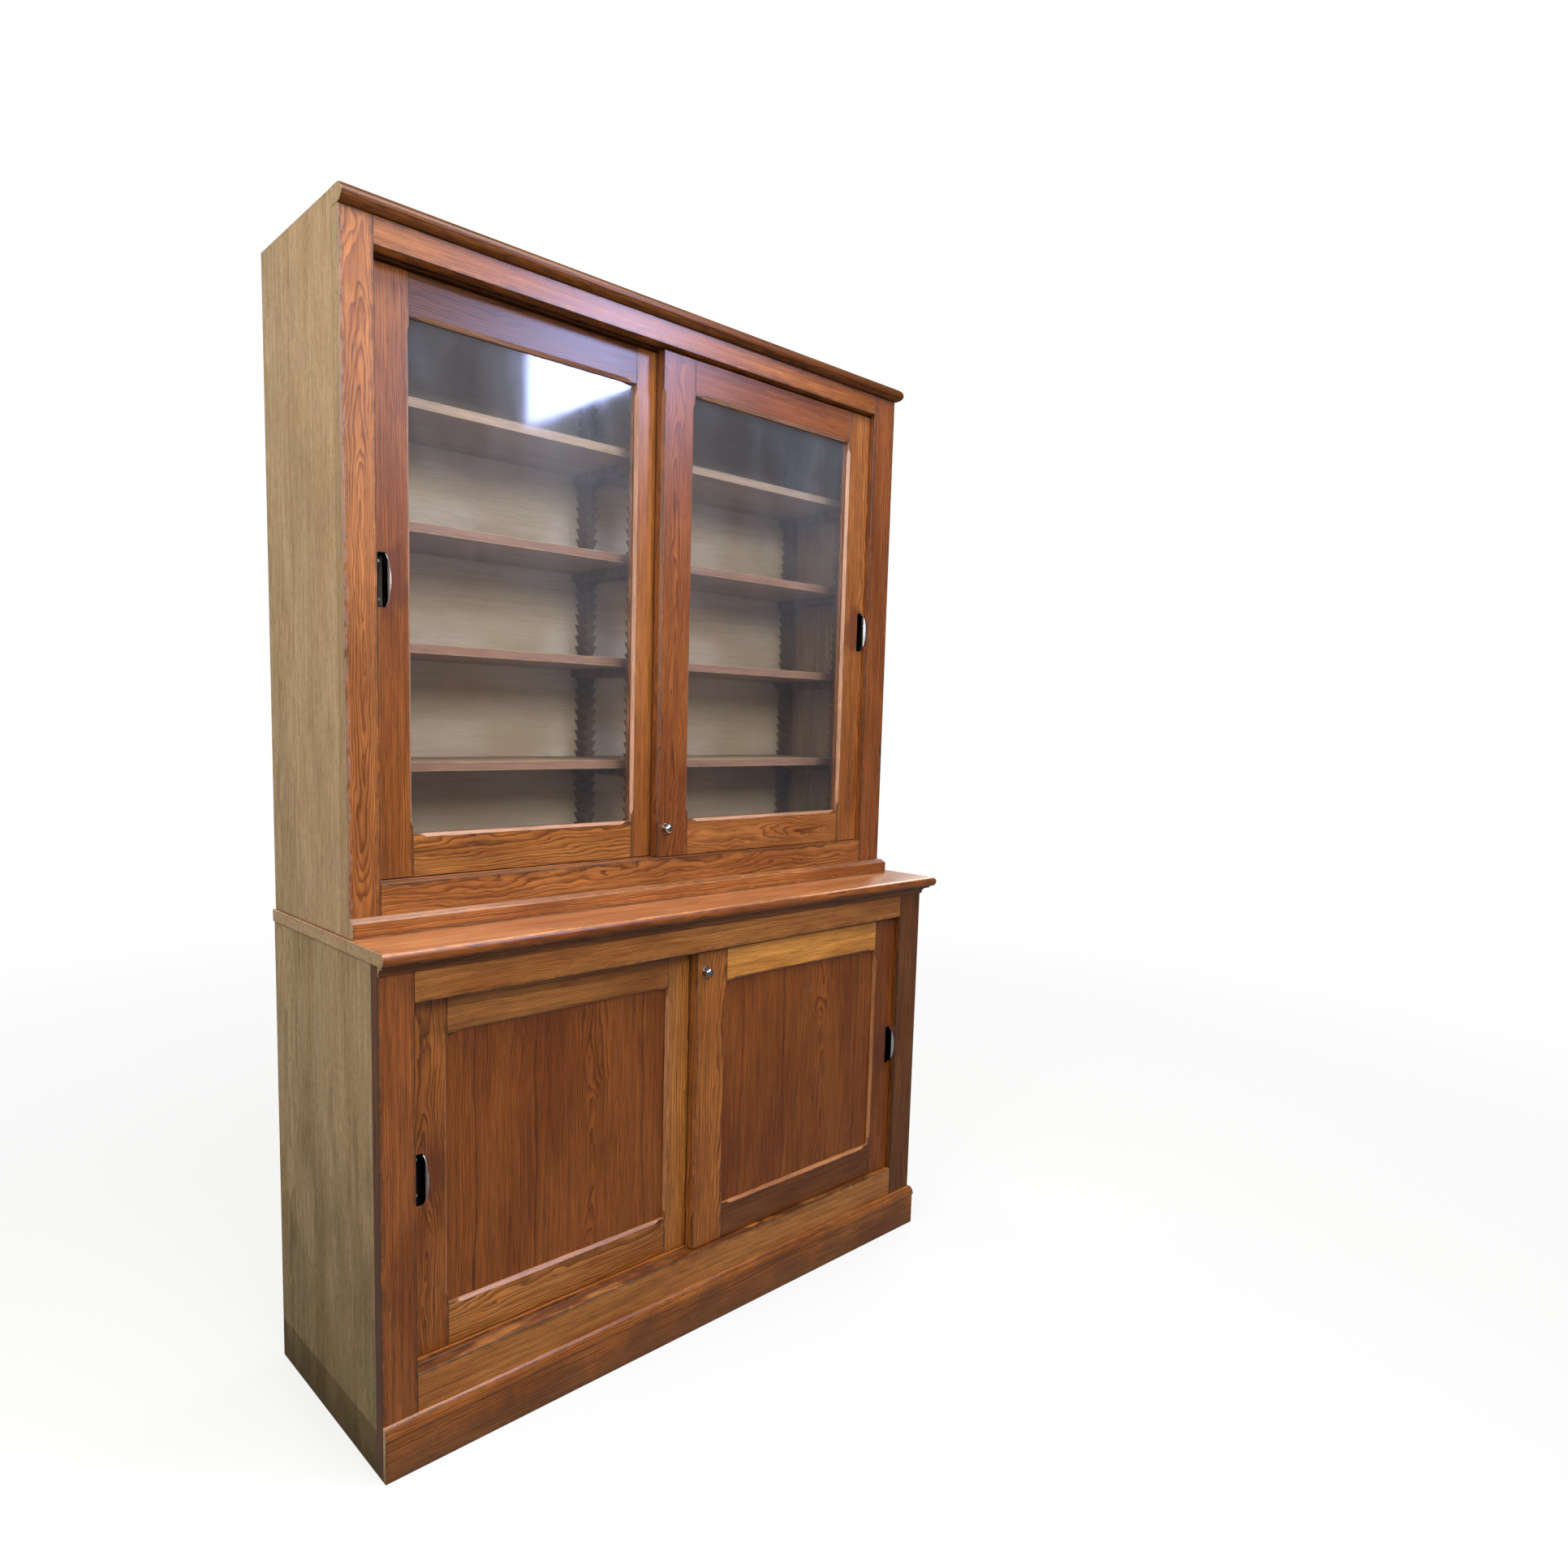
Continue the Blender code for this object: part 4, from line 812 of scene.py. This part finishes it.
def seed_of(node):
    """A number of the node's own, which shifts its board along the log."""
    return 1 + sum(ord(letter) * (at + 1) for at, letter in enumerate(node)) % 97


def dress_boards(boards, width, clamp=True, marks=None):
    """Eased boards for a group of CAD nodes, each with a finish of its own."""
    pieces = {}
    for node, (lie, cut, stain) in boards.items():
        piece = eased(node, node + "_board", width, clamp)
        mark = (marks or {}).get(node)
        finish = pine(node + "_finish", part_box(node), lie, cut, stain, seed_of(node), mark)
        fit_out(piece, node, [finish])
        pieces[node] = piece
    return pieces


def refinish(piece, node, part, wood, step, test):
    """Gives the faces that pass a test a finish of their own. Wood is its lie, cut and stain; step moves it on."""
    piece.data.materials.append(pine(f"{node}_{part}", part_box(node), *wood, seed_of(node) + step))
    paint(piece, len(piece.data.materials) - 1, test)


def left_end(piece, node, lie, stain="raw"):
    """Left ends were cut from a longer run, and most of them were never varnished."""
    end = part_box(node)[0].x + END_DEPTH
    refinish(piece, node, "left_end", (lie, "rift", stain), 3, lambda middle, out: out.x < -0.8 and middle.x < end)


def varnished_front(piece, node):
    """The grooved front of a floor board, where the doors run, is stained like the rail before it."""
    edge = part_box(node)[0].y + TRACK_DEPTH
    edit(piece)
    select_mesh()
    bpy.ops.mesh.bisect(plane_co=(0, edge, 0), plane_no=(0, 1, 0))
    leave_edit()
    refinish(piece, node, "front", ("flat", "comb", "brown"), 3,
             lambda middle, out: middle.y < edge and out.z > -0.5)


def rubbed_and_highlighted_opening(piece, node):
    """The chamfered inner edges of a stile or rail, before the pane, are painted pale: partly rubbed varnish, partly
    a painted highlight.
    """
    low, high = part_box(node)
    axis, lie = (0, "upright") if node.endswith("_stile") else (2, "across")
    inward = 1 if "_left_stile" in node or "_bottom_rail" in node else -1
    edge = (high if inward > 0 else low)[axis]
    stain = "bead" if node.startswith("upper") else "rub"
    refinish(piece, node, "opening", (lie, "comb", stain), 3,
             lambda middle, out: out[axis] * inward > 0.35 and abs(middle[axis] - edge) < BEAD_WIDTH
             and out.y < 0.1 and middle.y < low.y + BEAD_DEPTH)


class CABINET_OT_base_carcass(bpy.types.Operator):
    """Eases and stains the boards of the base cabinet and its counter top"""

    bl_idname = "cabinet.base_carcass"
    bl_label = "Base carcass"

    def execute(self, context):
        pieces = dress_boards(BASE_BOARDS, context.scene.cabinet_sizes.board_arris)
        varnished_front(pieces["base_floor"], "base_floor")
        left_end(pieces["base_left_stile"], "base_left_stile", "upright", "dark")
        top = pieces["counter_top"]
        # The nose is stained darker than the top: partly dirt, partly painted shade on its upright faces.
        refinish(top, "counter_top", "nose", ("flat", "comb", "panel"), 7,
                 lambda middle, out: out.z < 0.55 and (out.y < -0.2 or out.x > 0.2))
        left_end(top, "counter_top", "flat")
        return {"FINISHED"}


class CABINET_OT_upper_carcass(bpy.types.Operator):
    """Eases and stains the boards of the upper cabinet"""

    bl_idname = "cabinet.upper_carcass"
    bl_label = "Upper carcass"

    def execute(self, context):
        pieces = dress_boards(UPPER_BOARDS, context.scene.cabinet_sizes.board_arris)
        varnished_front(pieces["upper_floor"], "upper_floor")
        left_end(pieces["upper_left_stile"], "upper_left_stile", "upright")
        for side, inward in (("left", 1), ("right", -1)):
            node = f"upper_{side}_side"
            refinish(pieces[node], node, "inside", ("side", "broad", "shelf"), 7,
                     lambda middle, out: out.x * inward > 0.8)
        return {"FINISHED"}


class CABINET_OT_backs(bpy.types.Operator):
    """Eases and finishes the back boards"""

    bl_idname = "cabinet.backs"
    bl_label = "Backs"

    def execute(self, context):
        dress_boards(BACKS, context.scene.cabinet_sizes.board_arris)
        return {"FINISHED"}


class CABINET_OT_mouldings(bpy.types.Operator):
    """Eases and stains the mouldings, with the grain turned along their right returns"""

    bl_idname = "cabinet.mouldings"
    bl_label = "Mouldings"

    def execute(self, context):
        pieces = dress_boards(MOULDINGS, context.scene.cabinet_sizes.board_arris)
        for node, piece in pieces.items():
            low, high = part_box(node)
            refinish(piece, node, "return", ("return", *MOULDINGS[node][1:]), 5,
                     lambda middle, out: high.x - middle.x < middle.y - low.y and out.x > -0.5)
            left_end(piece, node, "across")
        return {"FINISHED"}


class CABINET_OT_shelving(bpy.types.Operator):
    """Eases and finishes the shelves, with their painted front edges, and the notched ladders"""

    bl_idname = "cabinet.shelving"
    bl_label = "Shelving"

    def execute(self, context):
        pieces = dress_boards(SHELVING, context.scene.cabinet_sizes.shelf_arris)
        for node in SHELVES:
            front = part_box(node)[0].y + END_DEPTH
            # The top shelf's edge is paler: cream paint and a painted highlight.
            stain = "cream" if node == TOP_SHELF else "lipping"
            refinish(pieces[node], node, "lipping", ("across", "comb", stain), 0,
                     lambda middle, out: out.y < -0.6 and middle.y < front)
        return {"FINISHED"}


class CABINET_OT_doors(bpy.types.Operator):
    """Eases and stains the stiles, rails and panels of the four doors"""

    bl_idname = "cabinet.doors"
    bl_label = "Doors"

    def execute(self, context):
        marks = {}
        for door in DOORS:
            side = door.rsplit("_", 1)[1]
            low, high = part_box(f"{door}_door_pull")
            place_of_hand = (low.x + HAND_ASIDE[side], high.y - HAND_DEPTH, (low.z + high.z) / 2)
            marks[f"{door}_door_{side}_stile"] = Vector(place_of_hand)
        pieces = dress_boards(DOOR_BOARDS, context.scene.cabinet_sizes.door_arris, False, marks)
        for node, piece in pieces.items():
            if not node.endswith("_panel"):
                rubbed_and_highlighted_opening(piece, node)
        return {"FINISHED"}


class CABINET_OT_glass(bpy.types.Operator):
    """Glazes the upper doors"""

    bl_idname = "cabinet.glass"
    bl_label = "Glass"

    def execute(self, context):
        clear = pane_glass("pane_glass")
        for node in PANES:
            fit_out(eased(node, node + "_pane", GLASS_ARRIS), node, [clear])
        return {"FINISHED"}


def pull_box(centre, face, size, depth, sizes):
    """The open box of a pull, let into the stile."""
    bpy.ops.mesh.primitive_cube_add(size=1.0, location=(centre.x, face + depth / 2, centre.z))
    piece = bpy.context.object
    piece.scale = (size.x, depth, size.z)
    settle()
    edit(piece)
    pick(piece, "EDGE", lambda middle, along: abs(along.y) > 0.9)
    bpy.ops.mesh.bevel(offset=sizes.pull_corner, segments=5, affect="EDGES")
    pick(piece, "FACE", lambda middle, out: out.y < -0.9)
    bpy.ops.mesh.inset(thickness=sizes.pull_wall)
    bpy.ops.mesh.extrude_region_move(TRANSFORM_OT_translate={"value": (0, depth - sizes.pull_wall, 0)})
    leave_edit()
    bevel(piece, BOX_ARRIS, 2, 40)
    return piece


def pull_fin(root, face, half, reach, sizes):
    """The half-moon fin of a pull: half an oval plate, bent in steps along a quarter of an oval, with a round rim."""
    steps = 9
    turns = [math.pi / 2 * step / steps for step in range(steps + 1)]
    profile = [Vector((sizes.fin_flare * (1 - math.cos(turn)), -reach * math.sin(turn))) for turn in turns]
    legs = [after - before for before, after in zip(profile, profile[1:])]
    length = sum(leg.length for leg in legs)
    bpy.ops.mesh.primitive_circle_add(vertices=96, radius=half, fill_type="NGON", location=(0, 0, 0),
                                      rotation=(0, math.pi / 2, 0))
    piece = bpy.context.object
    settle()
    piece.scale = (1.0, length / half, 1.0)
    settle()
    edit(piece)
    select_mesh()
    bpy.ops.mesh.bisect(plane_co=(0, FIN_ROOT, 0), plane_no=(0, 1, 0), clear_outer=True)
    folds, heading, at = [], 0.0, 0.0
    for leg in legs:
        lean = math.atan2(leg.x, -leg.y)
        folds.append((-at, lean - heading))
        heading = lean
        at += leg.length
    for fold, _ in folds:
        select_mesh()
        bpy.ops.mesh.bisect(plane_co=(0, fold, 0), plane_no=(0, 1, 0))
    for fold, turn in reversed(folds):
        pick(piece, "FACE", lambda middle, out: middle.y < fold - 1e-5)
        bpy.ops.transform.rotate(value=-turn, orient_axis="Z", center_override=(0, fold, 0))
    select_mesh()
    bpy.ops.mesh.normals_make_consistent(inside=False)
    bpy.ops.transform.translate(value=(root.x, face, root.z))
    leave_edit()
    apply_modifier(piece, "SOLIDIFY", thickness=sizes.fin_thickness, offset=0.0)
    bevel(piece, sizes.fin_thickness * 0.4, 3, 50)
    return piece


def slotted_screw(centre, radius, angle):
    """A countersunk screw with a slot, facing the front."""
    bpy.ops.mesh.primitive_cylinder_add(vertices=32, radius=radius, depth=SCREW_DEPTH, location=centre,
                                        rotation=(math.pi / 2, 0, 0))
    piece = bpy.context.object
    settle()
    edit(piece)
    pick(piece, "FACE", lambda middle, out: out.y < -0.9)
    bpy.ops.mesh.bevel(offset=SCREW_DOME, segments=3, affect="EDGES")
    leave_edit()
    bpy.ops.mesh.primitive_cube_add(size=1.0, location=(centre.x, centre.y - SLOT_RISE, centre.z))
    slot = bpy.context.object
    slot.scale = (radius * 3, SLOT_DEPTH, SLOT_WIDTH)
    slot.rotation_euler = (0, angle, 0)
    settle()
    apply_modifier(piece, "BOOLEAN", operation="DIFFERENCE", solver="EXACT", object=slot)
    bpy.data.objects.remove(slot)
    return piece


def joined(pieces, name):
    start_clean()
    for piece in pieces:
        piece.select_set(True)
    bpy.context.view_layer.objects.active = pieces[0]
    bpy.ops.object.join()
    pieces[0].name = name
    pieces[0].data.name = name
    return pieces[0]


class CABINET_OT_pulls(bpy.types.Operator):
    """Makes one pull, a box with two screws and a half-moon fin, and copies it to the four doors"""

    bl_idname = "cabinet.pulls"
    bl_label = "Pulls"

    def execute(self, context):
        sizes = context.scene.cabinet_sizes
        chrome = metal("pull_chrome", "chrome", rough=(0.26, 0.40), dulled_and_shaded=0.06, metallic=0.70)
        # The inside of the box and the root of the fin are nearly black: tarnish and painted shade in the recess.
        dark = metal("pull_inside", "tarnish_and_shade", rough=(0.30, 0.50), dulled_and_shaded=0.30)
        first = PULLS[0]
        low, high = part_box(first)
        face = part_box(first.replace("_pull", "_left_stile"))[0].y
        size = Vector((sizes.pull_width, 0.0, high.z - low.z))
        centre = Vector((low.x + size.x / 2, face, (low.z + high.z) / 2))
        depth = high.y - face
        start_clean()
        box = pull_box(centre, face, size, depth, sizes)
        half_fin = sizes.fin_thickness / 2
        fin = pull_fin(Vector((low.x + size.x - half_fin, 0, centre.z)), face, size.z / 2 - FIN_INSET,
                       face - low.y - half_fin, sizes)
        floor = face + depth - sizes.pull_wall
        screws = [slotted_screw(Vector((centre.x - SCREW_ASIDE, floor, centre.z + rise)), sizes.screw_radius, angle)
                  for rise, angle in ((-SCREW_RISE, 0.5), (SCREW_RISE, 1.9))]
        for made, material in ((box, dark), (fin, chrome), (screws[0], chrome), (screws[1], chrome)):
            made.data.materials.append(material)
        fin.data.materials.append(dark)
        # Faces on the fin's inner side, near its root, take the dark material as painted shade and a painted
        # reflection of the box.
        dulled_and_shaded = face - (face - low.y) * FIN_SHADED
        paint(fin, 1, lambda middle, out: out.x < -0.15 and middle.y > dulled_and_shaded)
        model = joined([box, fin, *screws], first + "_fitting")
        work_on(model)
        bpy.ops.object.shade_smooth_by_angle(angle=math.radians(40))
        for node in PULLS:
            piece = model
            if node != first:
                piece = bpy.data.objects.new(node + "_fitting", model.data.copy())
                context.collection.objects.link(piece)
                work_on(piece)
                piece.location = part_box(node)[0] - low
                settle()
            fit_out(piece, node)
        return {"FINISHED"}


def lock_knob(node, sizes):
    """The domed head of a push lock, and the bolt behind it."""
    low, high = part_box(node)
    centre = (low + high) / 2
    radius = (high.x - low.x) / 2
    bpy.ops.mesh.primitive_cylinder_add(vertices=48, radius=radius, depth=sizes.knob_length,
                                        location=(centre.x, low.y + sizes.knob_length / 2, centre.z),
                                        rotation=(math.pi / 2, 0, 0))
    piece = bpy.context.object
    settle()
    edit(piece)
    pick(piece, "FACE", lambda middle, out: out.y > 0.9)
    bpy.ops.mesh.inset(thickness=radius - sizes.bolt_radius)
    bpy.ops.mesh.extrude_region_move(
        TRANSFORM_OT_translate={"value": (0, high.y - low.y - sizes.knob_length, 0)})
    front = low.y + 0.0001
    pick(piece, "EDGE", lambda middle, along: middle.y < front)
    bpy.ops.mesh.bevel(offset=KNOB_DOME, segments=12, affect="EDGES")
    pick(piece, "FACE", lambda middle, out: out.y < -0.99 and middle.y < front)
    bpy.ops.mesh.inset(thickness=KNOB_FLAT)
    leave_edit()
    return piece


class CABINET_OT_locks(bpy.types.Operator):
    """Makes the push locks: a rose and barrel in each right door, and the knob that slides in it"""

    bl_idname = "cabinet.locks"
    bl_label = "Locks"

    def execute(self, context):
        sizes = context.scene.cabinet_sizes
        chrome = metal("lock_chrome", "chrome", rough=(0.09, 0.26), dulled_and_shaded=0.16)
        for prefix in ("upper", "base"):
            barrel = eased(f"{prefix}_lock_barrel", f"{prefix}_lock_rose", LOCK_ARRIS)
            start_clean()
            knob = lock_knob(f"{prefix}_lock_plunger", sizes)
            knob.name = f"{prefix}_lock_knob"
            work_on(knob)
            bpy.ops.object.shade_smooth_by_angle(angle=math.radians(35))
            for piece, node in ((barrel, "barrel"), (knob, "plunger")):
                fit_out(piece, f"{prefix}_lock_{node}", [chrome])
        return {"FINISHED"}


def soft_light(name, at, aim, size, power, tint):
    bpy.ops.object.light_add(type="AREA", location=at)
    lamp = bpy.context.object
    lamp.name = name
    lamp.rotation_euler = (Vector(aim) - Vector(at)).to_track_quat("-Z", "Y").to_euler()
    lamp.data.shape = "RECTANGLE"
    lamp.data.size, lamp.data.size_y = size
    lamp.data.energy = power
    lamp.data.color = tint


def floor_finish(stage):
    """Pale floor that fades to white far off, is dim in mirror images and throws little light back."""
    made, tree, shader, where = new_material("pale_floor")
    tone = (*stage.floor_colour, 1.0)
    cloud = spread(tree, noise(tree, where, "floor"), 0.3, 0.7)
    tree.links.new(blend(tree, cloud, tone, [0.985 * v for v in tone[:3]] + [1.0]), shader.inputs["Base Color"])
    shader.inputs["Roughness"].default_value = 0.7
    glow, mirrored = (place(tree, "ShaderNodeEmission", {"Color": WHITE, "Strength": strength}).outputs[0]
                      for strength in (1.0, stage.floor_shine))
    far = spread(tree, vector_length(tree, where), 0.8, 5.0, 0.72, 1.0)
    seen = mixed(tree, far, shader.outputs[0], glow)
    dim = place(tree, "ShaderNodeBsdfDiffuse", {"Color": (*stage.floor_bounce, 1.0)}).outputs[0]
    surface(tree, by_ray(tree, dim, mirrored, seen))
    return made


def lay_floor(stage):
    bpy.ops.mesh.primitive_circle_add(vertices=96, radius=stage.floor_radius, fill_type="NGON", location=(0, 0, 0))
    floor = bpy.context.object
    floor.name = "pale_floor"
    edit(floor)
    select_mesh()
    bpy.ops.mesh.extrude_region_move(TRANSFORM_OT_translate={"value": (0, 0, -0.02)})
    select_mesh()
    bpy.ops.mesh.normals_make_consistent(inside=False)
    leave_edit()
    floor.data.materials.append(floor_finish(stage))


def light_room(scene, stage):
    """Even light from all round, bluish and dim in mirror images, white behind the cabinet."""
    world = bpy.data.worlds.new("soft_room")
    scene.world = world
    world.use_nodes = True
    tree = world.node_tree
    tree.nodes.clear()
    room = ((WHITE, stage.room_light), ((*stage.room_tint, 1.0), stage.room_shine), (WHITE, 1.0))
    even, shine, seen = (place(tree, "ShaderNodeBackground", {"Color": tint, "Strength": strength}).outputs[0]
                         for tint, strength in room)
    place(tree, "ShaderNodeOutputWorld", {"Surface": by_ray(tree, even, shine, seen)})


def set_camera(scene, stage):
    """A camera at the photograph's viewing angle."""
    bpy.ops.object.camera_add()
    camera = bpy.context.object
    camera.name = "photo_camera"
    turn = Matrix.Rotation(CAMERA_PAN, 4, "Z") @ Matrix.Rotation(math.pi / 2 - CAMERA_DIP, 4, "X")
    turn = turn @ Matrix.Rotation(CAMERA_ROLL, 4, "Z")
    camera.matrix_world = Matrix.Translation(CAMERA_PLACE) @ turn
    camera.data.sensor_width = CAMERA_SENSOR
    camera.data.lens = stage.lens
    camera.data.shift_x, camera.data.shift_y = CAMERA_SHIFT
    camera.data.clip_start = CAMERA_NEAR
    scene.camera = camera


class CABINET_OT_stage(bpy.types.Operator):
    """Lays the pale floor and sets the soft lights and the camera"""

    bl_idname = "cabinet.stage"
    bl_label = "Stage"

    def execute(self, context):
        stage = context.scene.cabinet_stage
        start_clean()
        lay_floor(stage)
        light_room(context.scene, stage)
        for lamp, (at, aim, size, tint) in LAMPS.items():
            soft_light(lamp + "_light", at, aim, size, getattr(stage, lamp + "_power"), tint)
        set_camera(context.scene, stage)
        context.scene.view_settings.view_transform = "Standard"
        return {"FINISHED"}


STEPS = (CABINET_OT_base_carcass, CABINET_OT_upper_carcass, CABINET_OT_backs, CABINET_OT_mouldings,
         CABINET_OT_shelving, CABINET_OT_doors, CABINET_OT_glass, CABINET_OT_pulls, CABINET_OT_locks,
         CABINET_OT_stage)


class CABINET_PT_looks(bpy.types.Panel):
    """Lists the steps that dress the cabinet"""

    bl_idname = "CABINET_PT_looks"
    bl_label = "Laboratory cabinet"
    bl_space_type = "VIEW_3D"
    bl_region_type = "UI"
    bl_category = "Cabinet"

    def draw(self, context):
        for step in STEPS:
            self.layout.operator(step.bl_idname)


CLASSES = (CabinetSizes, CabinetColours, CabinetStage, *STEPS, CABINET_PT_looks)


def register():
    for entry in CLASSES:
        bpy.utils.register_class(entry)
    bpy.types.Scene.cabinet_sizes = PointerProperty(type=CabinetSizes)
    bpy.types.Scene.cabinet_colours = PointerProperty(type=CabinetColours)
    bpy.types.Scene.cabinet_stage = PointerProperty(type=CabinetStage)


def unregister():
    del bpy.types.Scene.cabinet_stage
    del bpy.types.Scene.cabinet_colours
    del bpy.types.Scene.cabinet_sizes
    for entry in reversed(CLASSES):
        bpy.utils.unregister_class(entry)


def main():
    register()
    for step in STEPS:
        group, name = step.bl_idname.split(".")
        getattr(getattr(bpy.ops, group), name)()


if __name__ == "__main__":
    main()
